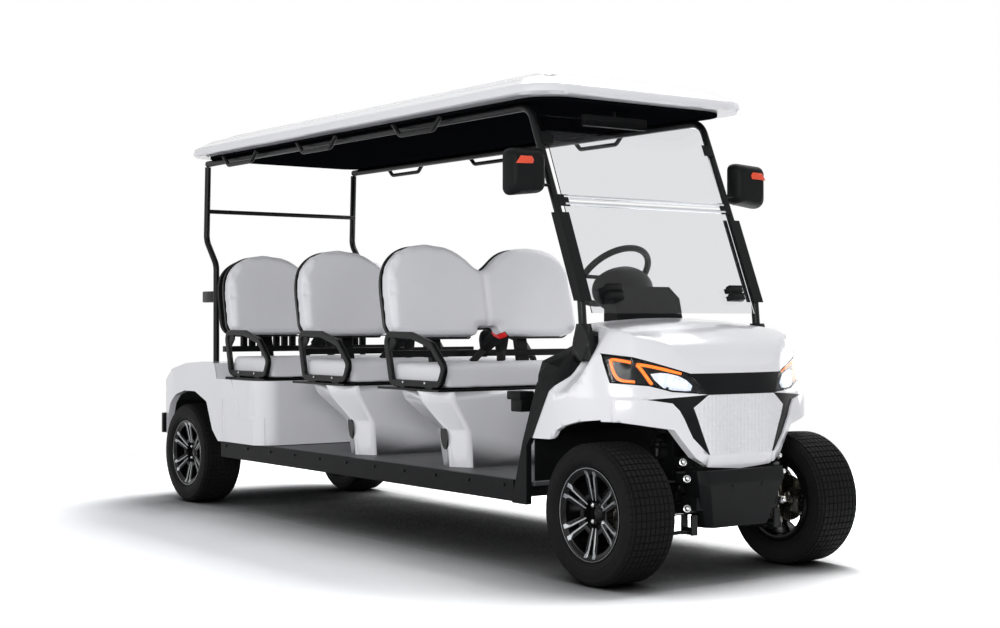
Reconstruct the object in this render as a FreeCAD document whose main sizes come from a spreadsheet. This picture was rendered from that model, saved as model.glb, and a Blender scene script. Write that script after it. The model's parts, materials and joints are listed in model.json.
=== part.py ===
# Golf cart with three bench rows, in millimetres and degrees.
# X points forward, Y to the left and Z up; the origin is on the ground below the middle.
import FreeCAD
import Part
import math
import os

from FreeCAD import Placement, Rotation, Vector

# Driving dimensions. Heights are above the ground and setbacks run back from the front axle line.
SIZES = {
    # Stance
    "wheelbase": 3400,
    "bumper_reach": 230,
    "rear_overhang": 400,
    "track_width": 950,
    "body_width": 1170,
    "cabin_width": 1110,
    "fender_width": 1134,
    # Wheels
    "tyre_diameter": 520,
    "tyre_width": 218,
    "tread_width": 172,
    "tyre_shoulder_drop": 12,
    "bead_diameter": 305,
    "rim_width": 190,
    "rim_lip_height": 18.5,
    "rim_lip_width": 6,
    "rim_wall": 6,
    "spoke_depth": 16,
    "spoke_setback": 10,
    "spoke_dish": 16,
    "spoke_root_radius": 60,
    "spoke_pair_count": 6,
    "spoke_window_angle": 34,
    "spoke_window_root_angle": 22,
    "spoke_slot_angle": 7,
    "hub_radius": 34,
    "hub_flange_radius": 60,
    "hub_flange_depth": 10,
    "mounting_pad_offset": 28,
    "rim_well_step": 6.5,
    "centre_cap_radius": 30,
    "centre_cap_depth": 20,
    "brake_disc_radius": 92,
    "brake_disc_thickness": 6,
    "brake_disc_offset": 30,
    "spindle_radius": 17.7,
    "spindle_clearance": 0.3,
    "running_gap": 5.5,
    # Steering and front suspension
    "kingpin_inset": 90,
    "kingpin_radius": 9,
    "pin_clearance": 0.3,
    "seat_gap": 0.3,
    "upright_height": 190,
    "upright_width": 34,
    "arm_eye_height": 14,
    "arm_eye_radius": 19,
    "arm_tube_radius": 10,
    "arm_spread": 90,
    "arm_root_half_track": 212,
    "arm_root_height": 190,
    "arm_root_radius": 14,
    "arm_root_length": 44,
    "bracket_thickness": 8,
    "steering_arm_length": 95,
    "steering_arm_drop": 55,
    "steering_arm_radius": 12,
    "steering_arm_height": 12,
    "tie_rod_radius": 8,
    "tie_pin_radius": 5,
    "caliper_depth": 34,
    "caliper_reach": 44,
    "coil_radius": 28,
    "coil_wire_radius": 5,
    "coil_count": 6,
    "shock_top_height": 535,
    "shock_top_half_track": 232,
    "shock_foot_half_track": 290,
    # Chassis
    "rail_height": 80,
    "rail_width": 50,
    "rail_half_track": 205,
    "rail_bottom_height": 250,
    "rail_kick_up": 130,
    "rail_front_reach": 92,
    "rail_knee_reach": 527,
    "rail_crest_reach": 357,
    "rail_tail_reach": 328,
    "cross_tube_height": 50,
    "cross_tube_width": 40,
    "cross_tube_count": 5,
    "hitch_plate_thickness": 8,
    "hitch_plate_width": 130,
    "hitch_plate_height": 60,
    "hitch_hole_radius": 6.5,
    "hitch_hole_spacing": 80,
    "deck_height": 345,
    "deck_thickness": 15,
    "sill_height": 84,
    "sill_thickness": 25,
    "sill_front_setback": 480,
    "leaf_width": 50,
    "leaf_thickness": 9,
    "leaf_count": 3,
    "leaf_span": 620,
    "axle_tube_radius": 33,
    "axle_housing_radius": 85,
    "motor_radius": 80,
    "motor_length": 185,
    "battery_length": 285,
    "battery_width": 560,
    "battery_height": 260,
    "battery_gap": 10,
    # Front body
    "cowl_height": 973,
    "cowl_rear_setback": 216,
    "cowl_wall": 20,
    "nose_reach": 203,
    "lip_height": 413,
    "arch_height": 600,
    "arch_reach": 380,
    "trim_strip_width": 60,
    "wing_step": 6,
    "wing_rear_share": 0.2,
    "bumper_bottom_height": 199,
    "bumper_half_width": 220,
    "bumper_depth": 90,
    "bumper_groove": 6,
    # Dashboard
    "dash_drop": 58,
    "dash_width_share": 0.84,
    "pod_rise": 182,
    "pod_width": 340,
    "pod_offset": -20,
    # Screen and pillars
    "pillar_radius": 16,
    "pillar_half_track": 453,
    "pillar_foot_setback": 166,
    "pillar_foot_height": 846,
    "pillar_foot_depth": 35,
    "pillar_foot_rise": 140,
    "pillar_foot_length": 130,
    "pillar_knee_height": 1052,
    "pillar_top_setback": 489,
    "screen_width": 846,
    "screen_thickness": 6,
    "screen_foot_height": 991,
    "screen_hinge_height": 1425,
    "screen_head_height": 1800,
    "clamp_width": 46,
    "clamp_height": 340,
    # Mirrors
    "mirror_half_track": 583,
    "mirror_height": 1529,
    "mirror_tall": 187,
    "mirror_width": 166,
    "mirror_depth": 70,
    "mirror_setback": 363,
    "inner_mirror_width": 330,
    "inner_mirror_tall": 46,
    # Roof
    "roof_underside_height": 1830,
    "roof_crown_height": 1930,
    "roof_rib_height": 14,
    "roof_rib_width": 110,
    "roof_edge_height": 45,
    "roof_width": 1126,
    "roof_front_setback": 300,
    "roof_rear_setback": 3445,
    "roof_liner_thickness": 12,
    "rear_post_half_track": 452,
    "rear_post_setback": 3389,
    "rear_post_knee_height": 1393,
    "rear_post_foot_height": 1290,
    "rear_post_bar_height": 1548,
    "grab_radius": 10,
    "grab_drop": 51,
    "grab_length": 372,
    "grab_half_track": 500,
    # Seats
    "seat_front_setback": 1024,
    "seat_pitch": 776,
    "rear_back_setback": 60,
    "seat_height": 779,
    "cushion_depth": 425,
    "cushion_width": 1020,
    "cushion_thickness": 104,
    "back_width": 1030,
    "back_bottom_height": 889,
    "back_top_height": 1308,
    "back_notch_height": 1199,
    "back_thickness": 62,
    "back_shell_thickness": 22,
    "back_lean_angle": 12,
    "tray_width": 1080,
    "tray_thickness": 10,
    "seat_tube": 30,
    "pedestal_lip_height": 43,
    "pedestal_half_width": 428,
    "pedestal_depth": 205,
    "armrest_radius": 15,
    "armrest_rise": 207,
    "armrest_flat_share": 0.8,
    "armrest_round_share": 0.6,
    "armrest_foot_height": 20,
    "armrest_foot_length": 60,
    "armrest_plate_size": 90,
    # Rear body
    "rear_body_front_setback": 2540,
    "rear_body_wall": 25,
    "rear_recess": 8,
    "rear_fender_height": 750,
    "rear_arch_height": 592,
    "rear_bumper_thickness": 22,
    "rear_bumper_height": 105,
    # Driver's controls
    "wheel_rim_radius": 180,
    "wheel_rim_tube": 14,
    "wheel_tilt_angle": 45,
    "wheel_half_track": 240,
    "wheel_setback": 830,
    "wheel_height": 1154,
    # Lamps and rack
    "bag_bar_height": 1080,
    "overrun": 40,
}

document = FreeCAD.newDocument("golf_cart")
sheet = document.addObject("Spreadsheet::Sheet", "Sizes")
for row, (alias, value) in enumerate(SIZES.items(), start=1):
    sheet.set(f"A{row}", str(value))
    sheet.setAlias(f"A{row}", alias)

# Cells worked out from the driving dimensions
DERIVED = {
    "front_axle": "=(wheelbase + rear_overhang - tyre_diameter / 2) / 2",
    "sill_rear_setback": "=wheelbase - tyre_diameter * 0.73",
    "floor_front_setback": "=arch_reach",
    "sill_top": "=deck_height + deck_thickness / 5",
    "rear_body_base": "=sill_top + seat_gap",
}
for row, (alias, formula) in enumerate(DERIVED.items(), start=1):
    sheet.set(f"B{row}", formula)
    sheet.setAlias(f"B{row}", alias)
document.recompute()


class Measured:
    """The sheet's values, read back by their alias."""

    def __getattr__(self, alias):
        return float(getattr(sheet, alias))


s = Measured()

# Places that follow from the driving dimensions
FRONT_AXLE = s.front_axle
REAR_AXLE = FRONT_AXLE - s.wheelbase
AXLE_HEIGHT = s.tyre_diameter / 2
WHEEL_HALF_TRACK = s.track_width / 2
KINGPIN_HALF_TRACK = WHEEL_HALF_TRACK - s.kingpin_inset
TRAY_TOP = s.seat_height - s.cushion_thickness
PEDESTAL_TOP = TRAY_TOP - s.tray_thickness
BEAD_RADIUS = s.bead_diameter / 2
LIP_RADIUS = BEAD_RADIUS + s.rim_lip_height

NODES = []


def keep(item, name):
    """Give a finished sub-part its name and list it for export."""
    item.Label = name
    NODES.append(item)
    return item


def node(name, shape):
    """A sub-part whose form is worked out by the geometry functions."""
    item = document.addObject("Part::Feature", name)
    item.Shape = shape
    return keep(item, name)


def ahead(setback):
    """The X of a place that lies a setback behind the front axle."""
    return FRONT_AXLE - setback


def mirrored(shape):
    """The same shape on the other side of the middle plane."""
    return shape.mirror(Vector(0, 0, 0), Vector(0, 1, 0))


def both_sides(shape):
    return Part.makeCompound([shape, mirrored(shape)])


def fused(shapes):
    """One solid from pieces that touch or overlap."""
    whole = shapes[0].multiFuse(shapes[1:])
    return whole.removeSplitter()


def block(length, width, height, corner):
    return Part.makeBox(length, width, height, corner)


def rounded_run(points, radii, closed):
    """Edges of a run of straight lines whose corners are tangent arcs."""
    count = len(points)
    ends = []
    for index, point in enumerate(points):
        radius = radii[index]
        if radius == 0 or (not closed and index in (0, count - 1)):
            ends.append((point, None, point))
            continue
        back = (points[index - 1] - point).normalize()
        on = (points[(index + 1) % count] - point).normalize()
        half = back.getAngle(on) / 2
        inset = radius / math.tan(half)
        middle = (back + on).normalize() * (radius / math.sin(half) - radius)
        ends.append((point + back * inset, point + middle, point + on * inset))
    edges = []
    for index, (entry, middle, exit_point) in enumerate(ends):
        if middle is not None:
            edges.append(Part.Arc(entry, middle, exit_point).toShape())
        if index + 1 < count or closed:
            start = ends[(index + 1) % count][0]
            if (start - exit_point).Length > Part.Precision.confusion():
                edges.append(Part.LineSegment(exit_point, start).toShape())
    return edges


def wire(points, radii=None, closed=True):
    radii = radii or [0] * len(points)
    return Part.Wire(rounded_run(points, radii, closed))


def tube(points, radii, radius):
    """A round bar along a run of straight lines and arcs."""
    path = wire(points, radii, closed=False)
    direction = points[1] - points[0]
    ring = Part.Wire([Part.makeCircle(radius, points[0], direction)])
    return path.makePipeShell([ring], True, True)


def side_slab(outline, low_side, high_side, radii=None):
    """A plate cut to an outline of (X, Z) points, between two Y values."""
    points = [Vector(x, low_side, z) for x, z in outline]
    return Part.Face(wire(points, radii)).extrude(Vector(0, high_side - low_side, 0))


def front_slab(outline, rear, front, radii=None):
    """A plate cut to an outline of (Y, Z) points, between two X values."""
    points = [Vector(rear, y, z) for y, z in outline]
    return Part.Face(wire(points, radii)).extrude(Vector(front - rear, 0, 0))


def top_slab(outline, bottom, top, radii=None):
    """A plate cut to an outline of (X, Y) points, between two heights."""
    points = [Vector(x, y, bottom) for x, y in outline]
    return Part.Face(wire(points, radii)).extrude(Vector(0, 0, top - bottom))


def rod(radius, start, end):
    """A straight round bar between two points."""
    return Part.makeCylinder(radius, (end - start).Length, start, end - start)


def turned(outline, centre, direction):
    """A full turn of a half section, given as (radius, offset) points, about an axis."""
    face = Part.Face(wire([Vector(radius, 0, offset) for radius, offset in outline]))
    ring = face.revolve(Vector(0, 0, 0), Vector(0, 0, 1), 360)
    ring.Placement = Placement(centre, Rotation(Vector(0, 0, 1), direction))
    return ring


def wheel_placement(axle, side):
    """Turns a part made about its own Z axis so that its outer face looks to one side."""
    return Placement(
        Vector(axle, side * WHEEL_HALF_TRACK, AXLE_HEIGHT),
        Rotation(Vector(1, 0, 0), -side * 90),
    )


def plane_of(body, role):
    return [face for face in body.Origin.OriginFeatures if face.Role == role][0]


def revolved(body, edges, title):
    """A full turn of an outline drawn in the XZ plane about Z."""
    sketch = body.newObject("Sketcher::SketchObject", title + "_outline")
    sketch.AttachmentSupport = [(plane_of(body, "XZ_Plane"), "")]
    sketch.MapMode = "FlatFace"
    for edge in edges:
        sketch.addGeometry(edge, False)
    turn = body.newObject("PartDesign::Revolution", title)
    turn.Profile = sketch
    turn.ReferenceAxis = (sketch, ["V_Axis"])
    turn.Angle = 360
    return turn


def loop_edges(points):
    """Straight edges round a closed outline of (radius, offset) points."""
    corners = [Vector(x, y, 0) for x, y in points]
    return [Part.LineSegment(a, b) for a, b in zip(corners, corners[1:] + corners[:1])]


def tyre(name, axle, side):
    """A low-profile tyre: bead walls that lean out, bulged sides, a shoulder and a flat crown."""
    body = document.addObject("PartDesign::Body", name)
    outer = s.tyre_diameter / 2
    half_section = [
        (BEAD_RADIUS, rim_seat()),
        ((LIP_RADIUS + outer) / 2, s.tyre_width / 2),
        (outer - s.tyre_shoulder_drop, (s.tyre_width + s.tread_width) / 4),
        (outer, s.tread_width / 2),
    ]
    outline = half_section + [(radius, -offset) for radius, offset in reversed(half_section)]
    revolved(body, loop_edges(outline), name + "_carcass")
    body.Placement = wheel_placement(axle, side)
    keep(body, name)


def rim_seat():
    """Where a bead meets the barrel, so that the tyre's wall clears the rim's lip."""
    edge = s.rim_width / 2
    bulge = (LIP_RADIUS + s.tyre_diameter / 2) / 2 - LIP_RADIUS
    lean = (s.tyre_width / 2 - (edge - s.rim_lip_width)) / bulge
    return edge - s.rim_lip_width - lean * s.rim_lip_height


def sector(inner, outer, centre_angle, inner_spread, outer_spread):
    """The outline of a flared piece of a ring, as arcs and straight sides."""

    def at(radius, angle):
        turn = math.radians(angle)
        return Vector(radius * math.cos(turn), radius * math.sin(turn), 0)

    inner_low, inner_high = centre_angle - inner_spread / 2, centre_angle + inner_spread / 2
    outer_low, outer_high = centre_angle - outer_spread / 2, centre_angle + outer_spread / 2
    return [
        Part.Arc(at(inner, inner_low), at(inner, centre_angle), at(inner, inner_high)),
        Part.LineSegment(at(inner, inner_high), at(outer, outer_high)),
        Part.Arc(at(outer, outer_high), at(outer, centre_angle), at(outer, outer_low)),
        Part.LineSegment(at(outer, outer_low), at(inner, inner_low)),
    ]


def pocket(body, edges, title, pattern_count):
    """A cut right through along Z, repeated round the axis."""
    sketch = body.newObject("Sketcher::SketchObject", title + "_outline")
    sketch.AttachmentSupport = [(plane_of(body, "XY_Plane"), "")]
    sketch.MapMode = "FlatFace"
    for edge in edges:
        sketch.addGeometry(edge, False)
    cut = body.newObject("PartDesign::Pocket", title)
    cut.Profile = sketch
    cut.Type = "ThroughAll"
    cut.Reversed = True
    document.recompute()
    pattern = body.newObject("PartDesign::PolarPattern", title + "_pattern")
    pattern.Originals = [cut]
    pattern.Axis = (plane_of(body, "Z_Axis"), [""])
    pattern.Angle = 360
    pattern.Occurrences = pattern_count
    body.Tip = pattern
    document.recompute()


def rim(name, axle, side):
    """A rim with twin spokes: barrel, two lips, pierced face, mounting pad and centre cap."""
    body = document.addObject("PartDesign::Body", name)
    edge = s.rim_width / 2
    seat = rim_seat()
    face = edge - s.spoke_setback
    back = face - s.spoke_depth
    barrel = BEAD_RADIUS - s.rim_wall
    lip_inner = LIP_RADIUS - s.rim_lip_width
    cap = s.mounting_pad_offset + s.centre_cap_depth
    outline = [
        (0, s.mounting_pad_offset),
        (s.hub_flange_radius, s.mounting_pad_offset),
        (s.spoke_root_radius + s.hub_flange_depth, back),
        (barrel, back),
        (barrel, -edge),
        (LIP_RADIUS, -edge),
        (LIP_RADIUS, s.rim_lip_width - edge),
        (BEAD_RADIUS, -seat),
        (BEAD_RADIUS, seat),
        (LIP_RADIUS, edge - s.rim_lip_width),
        (LIP_RADIUS, edge),
        (lip_inner, edge),
        (barrel, face),
        (s.spoke_root_radius, face - s.spoke_dish),
        (s.hub_flange_radius - s.rim_well_step, cap - s.hub_flange_depth),
        (s.centre_cap_radius, cap - s.hub_flange_depth),
        (s.centre_cap_radius, cap),
        (0, cap),
    ]
    revolved(body, loop_edges(outline), name + "_barrel")
    pitch = 360 / s.spoke_pair_count
    root = s.spoke_root_radius + s.hub_flange_depth + s.rim_wall
    tip = barrel - s.pin_clearance
    count = int(s.spoke_pair_count)
    window = sector(root, tip, 0, s.spoke_window_root_angle, s.spoke_window_angle)
    slot = sector(root + s.spoke_depth, tip, pitch / 2, s.spoke_slot_angle, s.spoke_slot_angle)
    pocket(body, window, name + "_windows", count)
    pocket(body, slot, name + "_slots", count)
    body.Placement = wheel_placement(axle, side)
    keep(body, name)


def hub_outline(rotor_radius):
    """Half section of a hub with its flange and a disc or drum on it, about the wheel's axis."""
    bore = s.spindle_radius + s.spindle_clearance
    foot = -s.kingpin_inset + s.upright_width / 2 + s.running_gap
    pad = s.mounting_pad_offset
    disc = -s.brake_disc_offset
    return [
        (bore, foot),
        (s.hub_radius, foot),
        (s.hub_radius, disc),
        (rotor_radius, disc),
        (rotor_radius, disc + s.brake_disc_thickness),
        (s.hub_radius, disc + s.brake_disc_thickness),
        (s.hub_radius, pad - s.hub_flange_depth),
        (s.hub_flange_radius, pad - s.hub_flange_depth),
        (s.hub_flange_radius, pad),
        (0, pad),
        (0, pad - s.hub_flange_depth),
        (bore, pad - s.hub_flange_depth),
    ]


def hub(name, axle, side):
    """The turning hub with its brake disc, hollow for the spindle."""
    body = document.addObject("PartDesign::Body", name)
    revolved(body, loop_edges(hub_outline(s.brake_disc_radius)), name + "_turned")
    body.Placement = wheel_placement(axle, side)
    keep(body, name)


def spindle_end():
    """Where a spindle stops, measured from the wheel's middle plane."""
    return s.mounting_pad_offset - s.hub_flange_depth - s.running_gap


def knuckle(name, side):
    """Upright with its kingpin ends, spindle, steering arm and brake caliper."""
    kingpin = Vector(FRONT_AXLE, side * KINGPIN_HALF_TRACK, AXLE_HEIGHT)
    outward = Vector(0, side, 0)
    half = s.upright_width / 2
    tall = s.upright_height
    upright = block(s.upright_width, s.upright_width, tall,
                    kingpin - Vector(half, half, tall / 2))
    reach = Vector(0, 0, tall / 2 + s.running_gap + s.arm_eye_height)
    pin = rod(s.kingpin_radius, kingpin - reach, kingpin + reach)
    spindle = rod(s.spindle_radius, kingpin, kingpin + outward * (s.kingpin_inset + spindle_end()))
    arm_centre = kingpin - Vector(0, 0, s.steering_arm_drop)
    arm_end = arm_centre - Vector(s.steering_arm_length, 0, 0)
    thick = Vector(0, 0, s.steering_arm_height / 2)
    arm = block(s.steering_arm_length, s.steering_arm_radius * 2, s.steering_arm_height,
                arm_end - Vector(0, s.steering_arm_radius, 0) - thick)
    arm_eye = rod(s.steering_arm_radius, arm_end - thick, arm_end + thick)
    tie_pin = rod(s.tie_pin_radius, arm_end, arm_end + thick * 4)
    caliper = caliper_shape(kingpin, side)
    node(name, fused([upright, pin, spindle, arm, arm_eye, tie_pin, caliper]))


def caliper_shape(kingpin, side):
    """A brake caliper ahead of the axle, open where the disc runs through it."""
    disc_near = s.kingpin_inset - s.brake_disc_offset
    disc_far = disc_near + s.brake_disc_thickness
    reach = s.brake_disc_radius + s.running_gap + s.upright_width / 3
    inner = reach - s.caliper_reach
    bracket_depth = s.upright_width / 2 - s.pin_clearance
    caliper_end = disc_far + s.running_gap + s.caliper_depth / 4
    low, high = sorted((side * bracket_depth / 2, side * caliper_end))
    caliper = block(s.caliper_reach, high - low, s.caliper_reach * 2,
                    kingpin + Vector(inner, low, -s.caliper_reach))
    out = Vector(0, side, 0)
    slot = rod(s.brake_disc_radius + s.running_gap, kingpin + out * (disc_near - s.running_gap),
               kingpin + out * (disc_far + s.running_gap))
    low, high = sorted((0, side * bracket_depth))
    bracket = block(inner + s.caliper_reach / 2, high - low, s.caliper_reach / 2,
                    kingpin + Vector(0, low, -s.caliper_reach / 4))
    return fused([caliper.cut(slot), bracket])


def tie_rod():
    """A straight rod between the two steering arms, with an eye round each pin."""
    left = Vector(
        FRONT_AXLE - s.steering_arm_length,
        KINGPIN_HALF_TRACK,
        AXLE_HEIGHT - s.steering_arm_drop + s.steering_arm_height,
    )
    right = Vector(left.x, -left.y, left.z)
    rise = Vector(0, 0, s.tie_rod_radius)
    gap = Vector(0, 0, s.steering_arm_height / 2 + s.pin_clearance * 2)
    left, right = (point + rise + gap - Vector(0, 0, s.steering_arm_height) for point in (left, right))
    eyes = [rod(s.steering_arm_radius, point - rise, point + rise) for point in (left, right)]
    bores = [rod(s.tie_pin_radius + s.pin_clearance, point - rise * 2, point + rise * 2)
             for point in (left, right)]
    bar = rod(s.tie_rod_radius, left, right)
    body = fused([bar] + eyes)
    for bore in bores:
        body = body.cut(bore)
    node("tie_rod", body)


def rail_crest():
    """Where the rails have reached their full height ahead of the rear axle."""
    return REAR_AXLE + s.rail_crest_reach


def rail_tail():
    return REAR_AXLE - s.rail_tail_reach


def rail_outline():
    """Side outline of a chassis rail, kicked up over the rear axle."""
    low = s.rail_bottom_height
    high = low + s.rail_height
    kick = s.rail_kick_up
    front = FRONT_AXLE + s.rail_front_reach
    knee = REAR_AXLE + s.rail_knee_reach
    crest = rail_crest()
    tail = rail_tail()
    return [(front, low), (front, high), (knee, high), (crest, high + kick), (tail, high + kick),
            (tail, low + kick), (crest, low + kick), (knee, low)]


def frame_rails():
    """The two main rails of the chassis."""
    inner = s.rail_half_track - s.rail_width / 2
    outer = s.rail_half_track + s.rail_width / 2
    node("frame_rails", both_sides(side_slab(rail_outline(), inner, outer)))


def frame_crossmembers():
    """Tubes between the rails, with outriggers in line with them that carry the floor and sills."""
    inner = s.rail_half_track - s.rail_width / 2
    outer = s.rail_half_track + s.rail_width / 2
    outrigger = s.cabin_width / 2 - s.sill_thickness - outer
    first = ahead(s.sill_front_setback) - s.cross_tube_width / 2
    last = ahead(s.rear_body_front_setback) - s.cross_tube_width / 2
    low = s.deck_height - s.deck_thickness - s.cross_tube_height
    pieces = []
    for index in range(int(s.cross_tube_count)):
        x = first + (last - first) * index / (s.cross_tube_count - 1)
        for start, length in ((-inner, 2 * inner), (outer, outrigger), (-outer - outrigger, outrigger)):
            pieces.append(block(s.cross_tube_width, length, s.cross_tube_height, Vector(x, start, low)))
    for x in (FRONT_AXLE + s.rail_front_reach - s.cross_tube_width, FRONT_AXLE - s.arm_spread * 2):
        pieces.append(block(s.cross_tube_width, 2 * inner, s.cross_tube_height,
                            Vector(x, -inner, s.rail_bottom_height)))
    raised = s.rail_bottom_height + s.rail_kick_up
    tail = rail_tail()
    over_axle, rear = (block(s.cross_tube_width, 2 * inner, s.cross_tube_height, Vector(x, -inner, raised))
                       for x in (rail_crest() - s.cross_tube_width, tail))
    node("frame_crossmembers", Part.makeCompound(pieces + [over_axle, fused([rear, hitch_plate(tail)])]))


def suspension_brackets():
    """Towers on the rails for the dampers, and plates that hold the roots of the arms."""
    rail_top = s.rail_bottom_height + s.rail_height
    tower_top = s.shock_top_height + s.arm_tube_radius * 2
    pieces = [block(s.arm_spread, s.rail_width / 3, tower_top - rail_top,
                    Vector(FRONT_AXLE - s.arm_spread / 2, s.rail_half_track - s.rail_width / 3, rail_top))]
    pieces += root_brackets(lower_spread(), s.arm_root_height, s.rail_bottom_height)
    pieces += root_brackets(s.arm_spread, AXLE_HEIGHT + eye_offset(), rail_top)
    node("suspension_brackets", both_sides(Part.makeCompound(pieces)))


def hitch_plate(tail):
    """A plate below the rearmost cross tube, with two bolt holes for a tow hitch."""
    middle = s.rail_bottom_height + s.rail_kick_up - s.hitch_plate_height / 2
    plate = block(s.hitch_plate_thickness, s.hitch_plate_width, s.hitch_plate_height + s.cross_tube_height,
                  Vector(tail, -s.hitch_plate_width / 2, middle - s.hitch_plate_height / 2))
    for side in (1, -1):
        centre = Vector(tail - s.overrun, side * s.hitch_hole_spacing / 2, middle)
        plate = plate.cut(rod(s.hitch_hole_radius, centre, centre + Vector(s.overrun * 2, 0, 0)))
    return plate


def bound_box(name, sizes, corner):
    """A box whose sizes and corner follow formulas on the sheet."""
    item = document.addObject("Part::Box", name)
    for place, formula in zip(("Length", "Width", "Height"), sizes):
        item.setExpression(place, formula)
    for place, formula in zip("xyz", corner):
        item.setExpression("Placement.Base." + place, formula)
    return item


def floor_deck():
    """The flat floor between the sills."""
    deck = bound_box(
        "floor_deck",
        ("Sizes.rear_body_front_setback - Sizes.floor_front_setback",
         "Sizes.cabin_width - 2 * Sizes.sill_thickness", "Sizes.deck_thickness"),
        ("Sizes.front_axle - Sizes.rear_body_front_setback",
         "Sizes.sill_thickness - Sizes.cabin_width / 2", "Sizes.deck_height - Sizes.deck_thickness"),
    )
    keep(deck, "floor_deck")


def sill_covers():
    """Long side covers with a lip above the floor."""
    for side, offset in (("left", "Sizes.cabin_width / 2 - Sizes.sill_thickness"),
                         ("right", "-Sizes.cabin_width / 2")):
        bound_box(
            "sill_" + side,
            ("Sizes.sill_rear_setback - Sizes.sill_front_setback", "Sizes.sill_thickness",
             "Sizes.sill_height"),
            ("Sizes.front_axle - Sizes.sill_rear_setback", offset, "Sizes.sill_top - Sizes.sill_height"),
        )
    pair = document.addObject("Part::Compound", "sill_covers")
    pair.Links = [document.sill_left, document.sill_right]
    keep(pair, "sill_covers")


def arm_roots(spread):
    """Where an A-arm's two legs meet the frame, ahead of and behind the axle."""
    return [FRONT_AXLE + way * spread for way in (1, -1)]


def lower_spread():
    return s.arm_spread * 1.6


def eye_offset():
    """From the axle's height to the middle of an arm's eye."""
    return s.upright_height / 2 + s.running_gap + s.arm_eye_height / 2


def suspension_arm(height, spread, root_height):
    """An A-arm on the left: two tubes from the frame to an eye round the kingpin."""
    kingpin = Vector(FRONT_AXLE, KINGPIN_HALF_TRACK, height)
    half = Vector(0, 0, s.arm_eye_height / 2)
    eye = rod(s.arm_eye_radius, kingpin - half, kingpin + half)
    bore = rod(s.kingpin_radius + s.pin_clearance, kingpin - half * 2, kingpin + half * 2)
    pieces = [eye]
    reach = Vector(s.arm_root_length / 2, 0, 0)
    for x in arm_roots(spread):
        root = Vector(x, s.arm_root_half_track, root_height)
        foot = kingpin + (root - kingpin).normalize() * (s.arm_eye_radius * 0.7)
        pieces.append(rod(s.arm_tube_radius * 0.65, foot, root))
        pieces.append(rod(s.arm_root_radius, root - reach, root + reach))
    return fused(pieces).cut(bore)


def root_brackets(spread, root_height, seat_height):
    """Plates that hold the roots of an A-arm, from the rail to the root's far side."""
    low = min(root_height - s.arm_root_radius, seat_height)
    high = max(root_height + s.arm_root_radius, seat_height)
    plates = []
    for x in arm_roots(spread):
        for start in (x - s.arm_root_length / 2 - s.bracket_thickness, x + s.arm_root_length / 2):
            plates.append(block(s.bracket_thickness, s.arm_root_radius * 2, high - low,
                                Vector(start, s.arm_root_half_track - s.arm_root_radius, low)))
    return plates


# Where a coil starts along its damper, and how much of the damper it covers.
COIL_START_SHARE = 0.36
COIL_SPAN_SHARE = 0.52


def coil_damper():
    """A damper with its coil as rings on a spring seat, between the lower arm and the tower."""
    foot = Vector(FRONT_AXLE, s.shock_foot_half_track, AXLE_HEIGHT - eye_offset() + s.arm_tube_radius)
    top = Vector(FRONT_AXLE, s.shock_top_half_track, s.shock_top_height)
    run = top - foot
    pieces = [rod(s.coil_radius * 0.45, foot, top)]
    for start, end in ((0.25, 0.29), (0.93, 0.97)):
        pieces.append(rod(s.coil_radius, foot + run * start, foot + run * end))
    coils = int(s.coil_count)
    wire_radius = s.coil_wire_radius
    turn = [(0, -wire_radius / 4), (s.coil_radius - wire_radius * 2, -wire_radius / 4),
            (s.coil_radius - wire_radius, -wire_radius), (s.coil_radius, 0),
            (s.coil_radius - wire_radius, wire_radius), (s.coil_radius - wire_radius * 2, wire_radius / 4),
            (0, wire_radius / 4)]
    for index in range(coils):
        centre = foot + run * (COIL_START_SHARE + COIL_SPAN_SHARE * index / (coils - 1))
        pieces.append(turned(turn, centre, run))
    cross = Vector(s.arm_spread * 0.8, 0, 0)
    low_pin = foot - Vector(0, 0, s.arm_tube_radius / 2)
    pieces.append(rod(s.arm_tube_radius * 0.65, low_pin - cross, low_pin + cross))
    pieces.append(rod(s.arm_tube_radius * 0.6, Vector(top.x, s.rail_half_track, top.z), top))
    return pieces


def front_suspension():
    """Lower and upper A-arms with a coil-over damper, left and right."""
    low = suspension_arm(AXLE_HEIGHT - eye_offset(), lower_spread(), s.arm_root_height)
    high = suspension_arm(AXLE_HEIGHT + eye_offset(), s.arm_spread, AXLE_HEIGHT + eye_offset())
    left = fused([low] + coil_damper())
    node("front_suspension", both_sides(Part.makeCompound([left, high])))


def leaf_spring_outline(level):
    """Side outline of one leaf: an arc, shorter the lower it sits."""
    half = s.leaf_span / 2 * (1 - 0.2 * level)
    rise = s.leaf_span * 0.07 * (1 - 0.2 * level) ** 2
    seat = AXLE_HEIGHT + s.axle_tube_radius + s.leaf_thickness * (s.leaf_count - 1 - level)
    return half, rise, seat


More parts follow.
